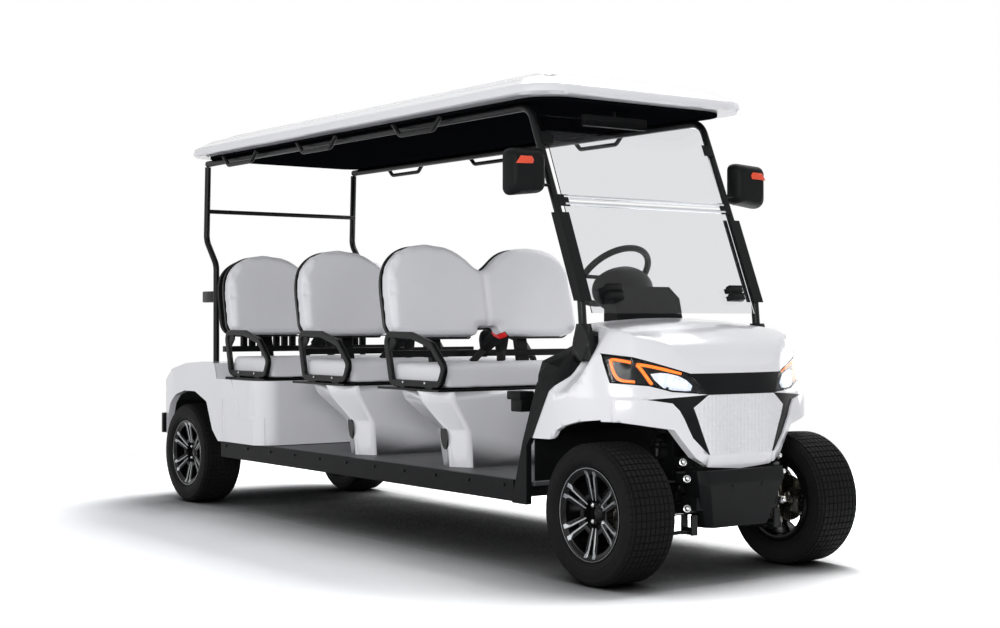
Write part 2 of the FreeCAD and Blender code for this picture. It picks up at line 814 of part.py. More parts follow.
def rear_springs():
    """Leaf packs under the kicked-up rails, on hangers at both ends."""
    inner = s.rail_half_track - s.leaf_width / 2
    pieces = []
    for level in range(int(s.leaf_count)):
        half, rise, seat = leaf_spring_outline(level)
        thick = s.leaf_thickness
        corners = [Vector(REAR_AXLE - half, inner, seat + rise), Vector(REAR_AXLE, inner, seat),
                   Vector(REAR_AXLE + half, inner, seat + rise)]
        up = Vector(0, 0, thick)
        lower = Part.Arc(*corners).toShape()
        upper = Part.Arc(*[corner + up for corner in corners]).toShape()
        ends = [Part.LineSegment(corner, corner + up).toShape() for corner in (corners[0], corners[-1])]
        outline = Part.Wire(Part.__sortEdges__([lower, upper] + ends))
        pieces.append(Part.Face(outline).extrude(Vector(0, s.leaf_width, 0)))
    half, rise, seat = leaf_spring_outline(0)
    rail_low = s.rail_bottom_height + s.rail_kick_up
    for way in (1, -1):
        end = Vector(REAR_AXLE + way * half, inner, seat + rise)
        pieces.append(rod(s.leaf_thickness * 1.5, end, end + Vector(0, s.leaf_width, 0)))
        pieces.append(block(s.leaf_thickness * 3, s.leaf_width, rail_low - end.z,
                            Vector(end.x - s.leaf_thickness * 1.5, inner, end.z)))
    left = fused(pieces)
    node("rear_springs", both_sides(left))


def drive_axle():
    """Rear axle tube with its housing, drive motor, backing plates and stub ends."""
    foot = WHEEL_HALF_TRACK - s.kingpin_inset + s.upright_width / 2
    centre = Vector(REAR_AXLE, 0, AXLE_HEIGHT)
    out = Vector(0, 1, 0)
    stub = WHEEL_HALF_TRACK + spindle_end()
    motor_start = centre + out * (s.axle_housing_radius * 0.3)
    shift = Vector(s.axle_housing_radius * 0.9, 0, s.axle_housing_radius * 0.2)
    pieces = [
        rod(s.axle_tube_radius, centre - out * foot, centre + out * foot),
        rod(s.spindle_radius, centre - out * stub, centre + out * stub),
        Part.makeSphere(s.axle_housing_radius, centre),
        rod(s.motor_radius, motor_start + shift - out * s.motor_length, motor_start + shift),
    ]
    plate = s.brake_disc_thickness
    for end in (out, out * -1):
        pieces.append(rod(s.brake_disc_radius, centre + end * (foot - plate), centre + end * foot))
    node("drive_axle", fused(pieces))


def battery_pack():
    """The traction battery, one plain block inside the rear seat box."""
    front = "Sizes.front_axle - Sizes.rear_body_front_setback - Sizes.rear_body_wall - Sizes.battery_gap"
    pack = bound_box(
        "battery_pack",
        ("Sizes.battery_length", "Sizes.battery_width", "Sizes.battery_height"),
        (front + " - Sizes.battery_length", "-Sizes.battery_width / 2",
         "Sizes.rail_bottom_height + Sizes.rail_height"),
    )
    keep(pack, "battery_pack")


def smooth_half(points, end_tangent):
    """A smooth curve through points of one half and their mirror images, with its ends' direction."""
    half = list(points)
    other = [Vector(point.x, -point.y, point.z) for point in reversed(half[1:])]
    curve = Part.BSplineCurve()
    start_tangent = Vector(-end_tangent.x, end_tangent.y, -end_tangent.z)
    curve.interpolate(Points=other + half, InitialTangent=start_tangent, FinalTangent=end_tangent)
    return curve, other[0], half[-1]


def spline_wire(points):
    """A smooth plan outline that runs straight back at both sides, closed by a straight rear edge."""
    curve, first, last = smooth_half(points, Vector(-1, 0, 0))
    return Part.Wire([curve.toShape(), Part.LineSegment(last, first).toShape()])


# Plan outlines of the front body, from the nose's middle round to the door edge.
# Each row: height share of the cowl, then (X share of the nose reach, Y share of half the fender width).
FRONT_PLAN_SHARES = (
    (0.36, ((0.88, 0), (0.80, 0.32), (0.60, 0.50), (0.24, 0.80), (-0.45, 0.96), (-2.4, 1.0))),
    (0.483, ((0.985, 0), (0.97, 0.30), (0.70, 0.50), (0.26, 0.82), (-0.45, 0.97), (-2.4, 1.0))),
    (0.62, ((0.99, 0), (0.945, 0.38), (0.70, 0.60), (0.25, 0.84), (-0.45, 0.975), (-2.4, 1.0))),
    (0.71, ((1.0, 0), (0.955, 0.36), (0.70, 0.60), (0.22, 0.845), (-0.45, 0.975), (-2.4, 1.0))),
    (0.788, ((0.94, 0), (0.85, 0.37), (0.60, 0.60), (0.08, 0.85), (-0.55, 0.97), (-2.4, 0.995))),
    (0.86, ((0.80, 0), (0.72, 0.37), (0.44, 0.66), (0.0, 0.85), (-0.65, 0.965), (-2.4, 0.985))),
    (1.08, ((0.35, 0), (0.28, 0.40), (0.04, 0.62), (-0.35, 0.83), (-1.0, 0.94), (-2.4, 0.97))),
)

# Cross-sections of the hood, from the rear forward.
# Each row: X share of the nose reach, then (Y share of half the fender width, height share of the cowl).
HOOD_SHARES = (
    (-2.6, ((0, 1.11), (0.735, 1.06), (0.80, 0.96), (0.90, 0.88), (1.06, 0.76))),
    (-1.06, ((0, 1.0), (0.735, 0.975), (0.80, 0.875), (0.90, 0.80), (1.06, 0.68))),
    (-0.5, ((0, 0.99), (0.735, 0.962), (0.805, 0.87), (0.90, 0.80), (1.06, 0.69))),
    (0.0, ((0, 0.972), (0.735, 0.947), (0.845, 0.86), (0.93, 0.80), (1.06, 0.70))),
    (0.3, ((0, 0.944), (0.69, 0.925), (0.73, 0.855), (0.85, 0.79), (1.06, 0.70))),
    (0.52, ((0, 0.913), (0.645, 0.896), (0.675, 0.842), (0.80, 0.785), (1.06, 0.70))),
    (0.66, ((0, 0.878), (0.56, 0.857), (0.59, 0.825), (0.75, 0.78), (1.06, 0.70))),
    (0.8, ((0, 0.836), (0.44, 0.815), (0.48, 0.803), (0.70, 0.775), (1.06, 0.70))),
    (1.1, ((0, 0.762), (0.36, 0.756), (0.42, 0.753), (0.60, 0.745), (1.06, 0.70))),
)


def front_plan_solid(inset):
    """The front body as seen from above, stacked outline by outline."""
    wires = []
    for height_share, row in FRONT_PLAN_SHARES:
        points = []
        for x_share, y_share in row:
            x = x_share * s.nose_reach - inset
            y = max(y_share * s.fender_width / 2 - inset, 0) if y_share else 0
            points.append(Vector(FRONT_AXLE + x, y, height_share * s.cowl_height))
        wires.append(spline_wire(points))
    return Part.makeLoft(wires, True, True)


# The lofts along the hood are cubic, which keeps them from swinging out between sections.
LOFT_DEGREE = 3

# Steps across the hood's lid from its middle to a crease.
LID_STEP_SHARES = (0, 1 / 3, 2 / 3)


def hood_solid(inset):
    """Everything below the hood's surface, as a loft along the car: an arched lid between two creases."""
    wires = []
    floor = s.lip_height / 2
    for x_share, row in HOOD_SHARES:
        x = FRONT_AXLE + x_share * s.nose_reach
        (_, middle), (crease, edge) = row[:2]
        lid = [(share * crease, middle + (edge - middle) * share ** 2) for share in LID_STEP_SHARES]
        half = [Vector(x, y * s.fender_width / 2, z * s.cowl_height - inset) for y, z in lid + list(row[1:])]
        half.append(Vector(x, half[-1].y, floor))
        other = [Vector(x, -point.y, point.z) for point in reversed(half[1:])]
        wires.append(Part.makePolygon(other + half + [other[0]]))
    tail = Part.makeLoft(wires[:2], True, True)
    nose = Part.makeLoft(wires[1:], True, False, False, LOFT_DEGREE)
    return fused([tail, nose])


def front_hull(inset):
    return front_plan_solid(inset).common(hood_solid(inset))


# Front-view outlines on the nose, as (Y share of half the fender width, height share of the cowl).
BAND_SHARES = ((-0.30, 0.710), (0.30, 0.710), (0.40, 0.79), (-0.40, 0.79))
PANEL_SHARES = ((-0.295, 0.709), (0.295, 0.709), (0.405, 0.662), (0.28, 0.483), (-0.28, 0.483),
                (-0.405, 0.662))
TRIM_SHARES = ((0.25, 0.7145), (0.30, 0.7105), (0.70, 0.694), (0.55, 0.680), (0.505, 0.652), (0.41, 0.549),
               (0.30, 0.4835), (0.28, 0.483), (0.405, 0.662), (0.295, 0.709), (0.25, 0.709))
LAMP_SHARES = ((0.30, 0.7106), (0.54, 0.722), (0.67, 0.744), (0.86, 0.755), (0.875, 0.866), (0.73, 0.852),
               (0.60, 0.828), (0.47, 0.803), (0.40, 0.79))

# The lower edge of the nose, as (Y share of half the fender width, share of the lip's height).
LOWER_EDGE_SHARES = ((0, 1.0), (0.28, 1.027), (0.38, 1.112), (0.53, 1.366), (0.84, 1.437), (1.2, 1.453))


# The raised plane on each side of the nose that runs from the trim back to the wheel opening.
WING_SHARES = ((0.30, 0.7105), (0.70, 0.694), (0.955, 0.688), (1.1, 0.680), (1.1, 0.617), (0.90, 0.612),
               (0.70, 0.58), (0.50, 0.50), (0.30, 0.44))


def front_outline(shares, side=1):
    return [(side * y * s.fender_width / 2, z * s.cowl_height) for y, z in shares]


def nose_prism(shares, side=1, rear_share=-0.25):
    """A bar with a front-view outline that runs forward through the nose."""
    rear = FRONT_AXLE + rear_share * s.nose_reach
    front = FRONT_AXLE + s.nose_reach + s.overrun
    return front_slab(front_outline(shares, side), rear, front)


# The front wheel opening from behind forward, as (setback share of its reach, share of its height).
ARCH_SHARES = ((1.0, 0), (1.0, 0.862), (0.565, 0.868), (0.50, 0.925), (0.408, 0.955), (0.221, 0.987),
               (-0.158, 1.012), (-1.07, 1.012), (-1.07, 0))


def arch_outline():
    return [(ahead(along * s.arch_reach), up * s.arch_height) for along, up in ARCH_SHARES]


def arch_radii():
    """Soft corners where the opening bends, square ones where it runs out of the body."""
    soft = s.arch_height / 20
    return [0, 0, soft, soft, soft, soft, soft, 0, 0]


def door_edge():
    """The cowl's rear edge in side view, from the screen down to the wheel opening."""
    back = s.cowl_rear_setback
    reach = s.arch_reach
    return [(ahead(back), s.cowl_height * 0.96), (ahead(back * 1.17), s.cowl_height * 0.8),
            (ahead(reach * 0.93), s.cowl_height * 0.535), (ahead(reach), s.cowl_height / 2)]


def front_body():
    """The cowl and the nose pieces, cut from one hull so that they meet edge to edge."""
    outer = front_hull(0)
    inner = front_hull(s.cowl_wall)
    shell = outer.cut(inner)
    arch = side_slab(arch_outline(), -s.body_width, s.body_width, arch_radii())
    lower_edge = [(y * s.fender_width / 2, z * s.lip_height) for y, z in LOWER_EDGE_SHARES]
    left_edge = [(-y, z) for y, z in reversed(lower_edge[1:])]
    below = front_slab(left_edge + lower_edge + [(s.body_width, 0), (-s.body_width, 0)],
                       FRONT_AXLE, FRONT_AXLE + s.nose_reach * 2)
    high = s.cowl_height + s.overrun * 3
    far = ahead(s.arch_reach * 3)
    edge = door_edge()
    rear_cut = side_slab([(edge[0][0], high)] + edge + [(edge[-1][0], 0), (far, 0), (far, high)],
                         -s.body_width, s.body_width)
    behind_nose = block(s.arch_reach, s.body_width * 2, s.cowl_height,
                        Vector(ahead(s.arch_reach), -s.body_width, 0))
    rear_arch = arch.common(behind_nose)
    shell = shell.cut(rear_cut).cut(rear_arch).cut(below)
    prisms = {
        "band": nose_prism(BAND_SHARES, rear_share=0.3),
        "panel": nose_prism(PANEL_SHARES, rear_share=0.3),
        "trim_left": nose_prism(TRIM_SHARES, rear_share=0.3),
        "trim_right": nose_prism(TRIM_SHARES, -1, rear_share=0.3),
        "lamp_left": nose_prism(LAMP_SHARES),
        "lamp_right": nose_prism(LAMP_SHARES, -1),
    }
    pieces = {}
    cowl = shell
    for name, prism in prisms.items():
        pieces[name] = cowl.common(prism)
        cowl = cowl.cut(prism)
    wings = raised_wings(list(prisms.values()) + [rear_arch, below])
    node("front_cowl", biggest(fused([biggest(cowl)] + wings)))
    node("nose_surround", fused([pieces["band"], pieces["trim_left"], pieces["trim_right"]]))
    node("nose_panel", pieces["panel"])
    node("headlamps", Part.makeCompound([pieces["lamp_left"], pieces["lamp_right"]]))


def raised_wings(cutters):
    """Thin raised planes on the cowl beside the trims, left and right."""
    wings = []
    skin = front_hull(-s.wing_step).cut(front_hull(s.cowl_wall / 2))
    for side in (1, -1):
        wing = skin.common(nose_prism(WING_SHARES, side, rear_share=s.wing_rear_share))
        for cutter in cutters:
            wing = wing.cut(cutter)
        wings.append(biggest(wing))
    return wings


def biggest(shape):
    """The largest solid of a shape."""
    return max(shape.Solids, key=lambda solid: solid.Volume)


# The groove in the bumper, right half of its outer edge, as shares of its half width and height.
GROOVE_SHARES = ((0.25, 0.47), (0.38, 0.75))


def groove_outline():
    """A bent line across the bumper with both ends turned up."""
    tall = s.lip_height - s.seat_gap - s.bumper_bottom_height
    outer = [(y * s.bumper_half_width, s.bumper_bottom_height + z * tall) for y, z in GROOVE_SHARES]
    wide = s.bumper_groove * 2
    inner = [(outer[1][0] - wide, outer[1][1]), (outer[0][0] - wide / 2, outer[0][1] + wide)]
    right = outer + inner
    left = [(-y, z) for y, z in right[::-1]]
    return left[2:] + right[:2] + right[2:] + left[:2]


def front_bumper():
    """The lower bumper: tapered down and in, with its corners swept back."""
    top = s.lip_height - s.seat_gap
    tall = top - s.bumper_bottom_height
    tip = FRONT_AXLE + s.bumper_reach
    wide = s.bumper_half_width

    def level(height, reach, half):
        front = tip - reach
        back = front - s.bumper_depth
        swept = front - s.bumper_depth * 0.3
        outline = [(back, -half), (swept, -half), (front, -half * 0.85), (front, half * 0.85), (swept, half),
                   (back, half)]
        return wire([Vector(x, y, height) for x, y in outline])

    shape = Part.makeLoft([level(s.bumper_bottom_height, s.bumper_depth * 0.4, wide * 0.72),
                           level(s.bumper_bottom_height + tall * 0.8, 0, wide),
                           level(top, s.bumper_depth * 0.1, wide)], True, True)
    stay = block(s.bumper_depth, s.rail_width * 0.6, s.rail_height * 0.6,
                 Vector(FRONT_AXLE + s.rail_front_reach, s.rail_half_track - s.rail_width / 2,
                        s.rail_bottom_height + s.rail_height * 0.2))
    groove = front_slab(groove_outline(), tip - s.bumper_groove, tip + s.overrun)
    node("front_bumper", fused([shape.cut(groove), stay, mirrored(stay)]))


def arch_liners():
    """Black liners over the four wheels, as bent strips with an inner wall."""
    node("arch_liners", both_sides(Part.makeCompound([front_liner(), rear_liner()])))


def front_liner():
    wall = s.cowl_wall / 3
    inner = s.rail_half_track + s.rail_width / 2 + wall
    outer = s.fender_width / 2 - s.cowl_wall * 1.6 - wall
    top = s.arch_height + wall
    back = ahead(s.arch_reach - wall)
    front = FRONT_AXLE + s.nose_reach * 0.2
    outline = [(back, s.deck_height), (back, top * 0.86), (ahead(s.arch_reach * 0.55), top), (front, top),
               (front, top + wall), (ahead(s.arch_reach * 0.58), top + wall), (back - wall, top * 0.87),
               (back - wall, s.deck_height)]
    liner = side_slab(outline, inner, outer)
    return biggest(liner.common(front_plan_solid(s.cowl_wall + s.seat_gap * 2)))


def rear_arch_outline(grow):
    """Side outline of the rear wheel opening, open at the bottom."""
    top = s.rear_arch_height + grow
    reach = s.tyre_diameter / 2
    return [(REAR_AXLE - reach * 1.06 - grow, 0), (REAR_AXLE - reach * 0.96 - grow, top * 0.70),
            (REAR_AXLE - reach * 0.72, top * 0.87), (REAR_AXLE - reach * 0.35, top * 0.96),
            (REAR_AXLE + reach * 0.05, top), (REAR_AXLE + reach * 0.55, top),
            (REAR_AXLE + reach * 1.07 + grow, top * 0.92),
            (REAR_AXLE + reach * 1.34 + grow, top * 0.68), (REAR_AXLE + reach * 1.6 + grow, top * 0.585),
            (REAR_AXLE + reach * 1.6 + grow, 0)]


def rear_liner():
    wall = s.cowl_wall / 3
    inner = s.rail_half_track + s.rail_width / 2 + wall
    outer = s.body_width / 2 - s.rear_body_wall - wall
    keep_above = s.rear_arch_height * 0.62
    outer_slab = side_slab(rear_arch_outline(wall * 2), inner, outer)
    inner_slab = side_slab(rear_arch_outline(wall), inner - wall, outer + wall)
    liner = outer_slab.cut(inner_slab)
    low = block(s.wheelbase, s.body_width, keep_above, Vector(REAR_AXLE - s.wheelbase / 2, 0, 0))
    inside = rear_body_slab(s.rear_body_wall + s.seat_gap)
    return biggest(liner.cut(low).common(inside))


# Side outline of the rear fender and tail, as (share of the body's length, share of its height).
REAR_TOP_SHARES = ((0.394, 0.985), (0.50, 1.0), (0.67, 0.97), (0.82, 0.88), (0.92, 0.72), (0.98, 0.46),
                   (1.0, 0.12), (1.0, 0.08))


def rear_tail():
    """The X of the rear body's tail, ahead of the bumper."""
    return REAR_AXLE - s.rear_overhang + s.rear_bumper_thickness


def rear_plan(inset, low, high):
    """The rear body as seen from above: rounded front corners and a drawn-in tail."""
    front = ahead(s.rear_body_front_setback) - inset
    tail = rear_tail() + inset
    half = s.body_width / 2 - inset
    corner = s.body_width * 0.1
    length = front - tail
    plan = [(front, 0), (front, half), (tail + length * 0.2, half), (tail + length * 0.07, half * 0.955),
            (tail, half * 0.72), (tail, 0)]
    radii = [0, corner, length * 0.08, length * 0.05, length * 0.05, 0]
    left = top_slab(plan, low, high, radii)
    return fused([left, mirrored(left)])


def rear_body_slab(inset):
    """Plan and side outlines of the rear body, crossed into one solid."""
    front = ahead(s.rear_body_front_setback) - inset
    length = front - rear_tail() - inset
    base = s.rear_body_base - inset * 2
    height = s.rear_fender_height - s.rear_body_base
    step = ahead(row_setback(2)) - s.cushion_depth - s.seat_gap - inset
    points = [(front, base), (front, PEDESTAL_TOP - inset), (step, PEDESTAL_TOP - inset)]
    for along, up in REAR_TOP_SHARES:
        points.append((front - along * length, s.rear_body_base + up * height - inset))
    points.append((front - length + s.rear_bumper_thickness, base))
    side = side_slab(points, -s.body_width, s.body_width)
    return rear_plan(inset, base - s.overrun, s.rear_fender_height + s.overrun).common(side)


# Upper edge of the recessed lower side, as (setback share of the wheelbase, share of the body's height).
RECESS_SHARES = ((0.865, 0.56), (0.851, 0.40), (0.835, 0.305), (0.70, 0.30))


def recess_outline():
    """Side outline of the lower side panel that lies back from the surface above its crease."""
    height = s.rear_fender_height - s.rear_body_base
    crease = [(ahead(along * s.wheelbase), s.rear_body_base + up * height) for along, up in RECESS_SHARES]
    low = s.rear_body_base - s.overrun
    return crease + [(crease[-1][0], low), (crease[0][0], low)]


def rear_body():
    """Seat box, fenders and tail in one shell, open below and round the wheels."""
    shell = rear_body_slab(0).cut(rear_body_slab(s.rear_body_wall))
    arch = side_slab(rear_arch_outline(0), s.rail_half_track + s.rail_width, s.body_width)
    for cutter in (arch, mirrored(arch)):
        shell = shell.cut(cutter)
    recess = side_slab(recess_outline(), s.body_width / 2 - s.rear_recess, s.body_width)
    for cutter in (recess, mirrored(recess)):
        shell = shell.cut(cutter)
    node("rear_body", biggest(shell))


def rear_bumper():
    """A black bumper that wraps the tail and its corners."""
    low = s.rear_body_base + s.rear_bumper_thickness / 4
    high = low + s.rear_bumper_height
    ring = rear_plan(-s.rear_bumper_thickness, low, high).cut(rear_body_slab(0))
    reach = block(s.rear_overhang * 0.345, s.body_width * 2, s.wheelbase,
                  Vector(rear_tail() - s.rear_bumper_thickness, -s.body_width, 0))
    node("rear_bumper", biggest(ring.common(reach)))


def tail_lamps():
    """Upright lamps let into the tail's corners."""
    depth = s.rear_body_wall
    hull = rear_body_slab(0).cut(rear_body_slab(depth))
    height = s.rear_fender_height - s.rear_body_base
    lamp = block(depth * 4, s.body_width * 0.09, height * 0.24,
                 Vector(rear_tail() - depth, s.body_width * 0.30, s.rear_body_base + height * 0.36))
    left = hull.common(lamp)
    body = document.getObject("rear_body")
    body.Shape = biggest(body.Shape.cut(lamp).cut(mirrored(lamp)))
    node("tail_lamps", both_sides(left))


def row_setback(row):
    return s.seat_front_setback + row * s.seat_pitch


def pedestals():
    """Flared seat pedestals of the front and middle rows, with a lip under the tray."""
    shapes = []
    for row in range(2):
        front = ahead(row_setback(row))
        lip_low = PEDESTAL_TOP - s.pedestal_lip_height
        wide = s.tray_width / 2

        def level(height, back_setback, half, corner):
            back = ahead(row_setback(row)) - back_setback
            widest = front - back_setback * 0.4
            outline = [(front, -half * 0.88), (front, half * 0.88), (widest, half), (back, half * 0.89),
                       (back, -half * 0.89), (widest, -half)]
            return wire([Vector(x, y, height) for x, y in outline], [corner] * len(outline))

        foot = s.pedestal_half_width
        depth = s.pedestal_depth
        corner = depth / 8
        waist = s.deck_height + (lip_low - s.deck_height) * 0.55
        levels = [level(s.deck_height, depth, foot, corner),
                  level(waist, depth * 1.15, foot * 1.02, corner),
                  level(lip_low, s.cushion_depth * 0.9, wide * 0.97, corner),
                  level(PEDESTAL_TOP, s.cushion_depth * 0.93, wide, corner)]
        shapes.append(Part.makeLoft(levels, True, True))
    node("seat_pedestals", Part.makeCompound(shapes))


def seat_cushions():
    """Plain cushions, one a row."""
    names = []
    for row in range(3):
        front = "Sizes.front_axle - Sizes.seat_front_setback - Sizes.cushion_depth"
        item = bound_box(f"cushion_{row + 1}",
                         ("Sizes.cushion_depth", "Sizes.cushion_width", "Sizes.cushion_thickness"),
                         (f"{front} - {row} * Sizes.seat_pitch", "-Sizes.cushion_width / 2",
                          "Sizes.seat_height - Sizes.cushion_thickness"))
        names.append(item)
    group = document.addObject("Part::Compound", "seat_cushions")
    group.Links = names
    keep(group, "seat_cushions")


# Upper edge of a backrest, as (share of its half width, share of its height), from the dip outwards.
BACK_SHARES = ((0.214, 0.905), (0.476, 1.0), (0.777, 0.96), (0.951, 0.78), (1.0, 0.50), (1.0, 0.28))

# Lower edge of a backrest, with the opening for the belts in its middle.
BACK_FOOT_SHARES = ((1.0, 0), (0.13, 0), (0.10, 0.10), (-0.10, 0.10), (-0.13, 0), (-1.0, 0))


def back_face(inset):
    """Front outline of a two-person backrest with a dip between its two humps."""
    half = s.back_width / 2 - inset
    low = s.back_bottom_height + inset
    tall = s.back_top_height - inset - low

    def at(shares):
        return [Vector(0, y * half, low + z * tall) for y, z in shares]

    dip = Vector(0, 0, s.back_notch_height - inset)
    upper, first, last = smooth_half([dip] + at(BACK_SHARES), Vector(0, 0, -1))
    corner = half / 8
    notch = corner / 5
    radii = [0, corner, notch, notch, notch, notch, corner, 0]
    lower = rounded_run([last] + at(BACK_FOOT_SHARES) + [first], radii, False)
    return Part.Face(Part.Wire(Part.__sortEdges__([upper.toShape()] + lower)))


def back_plate(inset, rear, thickness):
    """A plate with the backrest's outline, its rear face at a given X."""
    face = back_face(inset)
    face.translate(Vector(rear, 0, 0))
    return face.extrude(Vector(thickness, 0, 0))


def leaned(shape, row):
    """Leans a backrest piece back about the rear foot of its own cushion."""
    pivot = Vector(back_foot(row), 0, s.back_bottom_height)
    shape.rotate(pivot, Vector(0, 1, 0), -s.back_lean_angle)
    return shape


def backrests():
    """Padded backrests and the moulded shells behind them."""
    pads = []
    shells = []
    for row in range(3):
        back = back_foot(row)
        pads.append(leaned(back_plate(0, back - s.back_thickness / 2, s.back_thickness), row))
        rear = back - s.back_thickness / 2 - s.seat_gap - s.back_shell_thickness
        shells.append(leaned(back_plate(s.back_shell_thickness / 4, rear, s.back_shell_thickness), row))
    node("backrests", Part.makeCompound(pads))
    node("backrest_shells", Part.makeCompound(shells))


def back_foot(row):
    """The X of the line that a backrest leans about, over its cushion's rear edge."""
    return ahead(row_setback(row)) - s.cushion_depth - (s.rear_back_setback if row == 2 else 0)


def seat_frames():
    """Trays under the cushions with the uprights that carry each backrest."""
    shapes = []
    for row in range(3):
        front = ahead(row_setback(row))
        frame_x = back_foot(row) - s.seat_tube
        on_body = row == 2
        tray_end = front - s.cushion_depth if on_body else frame_x - s.seat_tube
        tray = block(front - tray_end, s.tray_width, s.tray_thickness,
                     Vector(tray_end, -s.tray_width / 2, PEDESTAL_TOP))
        top = s.back_bottom_height + s.back_width * 0.16
        uprights = []
        for share in (-0.47, 0.47):
            y = share * s.back_width / 2
            uprights.append(block(s.seat_tube * 5, s.seat_tube * 2, top - TRAY_TOP,
                                  Vector(frame_x - s.seat_tube * 4, y - s.seat_tube, TRAY_TOP)))
        behind = behind_back(row, top)
        uprights = [upright.common(behind) for upright in uprights]
        bar = block(s.seat_tube, s.tray_width * 0.92, s.seat_tube,
                    Vector(frame_x - s.seat_tube, -s.tray_width * 0.46, s.seat_height + s.seat_tube * 0.7))
        frame = fused(uprights + [bar])
        if on_body:
            frame = frame.cut(document.getObject("rear_body").Shape)
            shapes += [tray, biggest(frame)]
        else:
            shapes.append(fused([tray, frame]))
    node("seat_frames", Part.makeCompound(shapes))


def behind_back(row, top):
    """A bent strip seen from the side: upright below the backrest, then close behind its shell."""
    frame_x = back_foot(row) - s.seat_tube
    depth = s.back_thickness / 2 + s.back_shell_thickness + s.seat_gap * 2
    lean = math.radians(s.back_lean_angle)
    start = Vector(back_foot(row) - depth * math.cos(lean), 0, s.back_bottom_height - depth * math.sin(lean))
    rise = Vector(-math.sin(lean), 0, math.cos(lean))
    away = Vector(-math.cos(lean), 0, -math.sin(lean)) * s.seat_tube
    high = start + rise * (top - s.back_bottom_height)
    points = [high, start, Vector(frame_x, 0, s.seat_height), Vector(frame_x, 0, TRAY_TOP),
              Vector(frame_x - s.seat_tube, 0, TRAY_TOP), Vector(frame_x - s.seat_tube, 0, s.seat_height),
              start + away, high + away]
    return side_slab([(point.x, point.z) for point in points], -s.back_width, s.back_width)


# Where an armrest's two feet stand, as shares of the cushion's depth behind its front edge.
ARMREST_FOOT_SHARES = (0.2, 0.7)

# Middle line of an armrest loop as (share of the cushion depth behind its front edge, share of the rise).
ARMREST_SHARES = ((0.02, 0.0), (-0.06, 0.34), (0.17, 0.80), (0.54, 0.99), (1.02, 1.0), (0.90, 0.0))


def armrest(row):
    """A hip restraint on the left: a flat moulded loop with a corner plate and two feet on the tray."""
    half = s.armrest_radius * s.armrest_flat_share
    y = s.tray_width / 2 - s.armrest_radius
    low = TRAY_TOP + s.armrest_foot_height
    outline = [(ahead(row_setback(row)) - along * s.cushion_depth, low + up * s.armrest_rise)
               for along, up in ARMREST_SHARES]
    corner = s.armrest_radius * 2.4
    middle = Part.Face(wire([Vector(x, y - half, z) for x, z in outline], [corner] * len(outline)))
    outer = middle.makeOffset2D(s.armrest_radius)
    inner = middle.makeOffset2D(-s.armrest_radius)
    loop = outer.cut(inner).extrude(Vector(0, half * 2, 0))
    loop = loop.makeFillet(half * s.armrest_round_share, long_edges(loop, half))
    pieces = [loop, corner_plate(outline, y)]
    for share in ARMREST_FOOT_SHARES:
        x = ahead(row_setback(row)) - share * s.cushion_depth
        pieces.append(block(s.armrest_foot_length, half * 2, low - TRAY_TOP,
                            Vector(x - s.armrest_foot_length / 2, y - half, TRAY_TOP)))
    return fused(pieces)


def long_edges(shape, half):
    """The edges that run round a flat loop, not those that cross it."""
    return [edge for edge in shape.Edges if edge.BoundBox.YLength < half / 2]


def corner_plate(outline, y):
    """The thin plate that closes the upper rear corner of an armrest."""
    rear_x, rear_z = outline[-2]
    reach = s.armrest_plate_size
    plate = [(rear_x, rear_z), (rear_x + reach, rear_z), (rear_x + reach * 0.9, rear_z - reach * 0.4),
             (rear_x + reach * 0.3, rear_z - reach), (rear_x, rear_z - reach)]
    thick = s.bracket_thickness / 2
    return side_slab(plate, y - thick, y + thick)


def armrests():
    shapes = [armrest(row) for row in range(3)]
    node("armrests", both_sides(Part.makeCompound(shapes)))


# The foot of a front pillar, as (share of its reach ahead of the pillar, share of its height).
FOOT_SHARES = ((0.5, 0), (0.30, 0.55), (0.12, 1.0), (-0.25, 1.0), (-0.42, 0.5), (-0.5, 0))


def foot_outline(x):
    """Side outline of a pillar's foot: a wide base that draws in round the tube."""
    base = s.pillar_foot_height - s.pillar_foot_depth
    return [(x + along * s.pillar_foot_length, base + up * s.pillar_foot_rise) for along, up in FOOT_SHARES]


def front_pillars():
    """One bent tube a side: foot, screen pillar, and the rail under the roof back to the rear post."""
    y = s.pillar_half_track
    top = s.roof_underside_height - s.roof_liner_thickness - s.pillar_radius - s.pin_clearance
    points = [
        Vector(ahead(s.pillar_foot_setback), y, s.pillar_foot_height - s.mirror_depth / 2),
        Vector(ahead(s.pillar_foot_setback * 1.14), y, s.pillar_knee_height),
        Vector(ahead(s.pillar_top_setback * 1.04), y, top),
        Vector(ahead(s.rear_post_setback), y, top),
    ]
    pillar = tube(points, [0, s.pillar_radius * 8, s.pillar_radius * 5, 0], s.pillar_radius)
    foot = side_slab(foot_outline(points[0].x), y - s.pillar_radius, y + s.pillar_radius)
    whole = fused([pillar, foot]).cut(front_hull(0))
    node("front_pillars", both_sides(biggest(whole)))


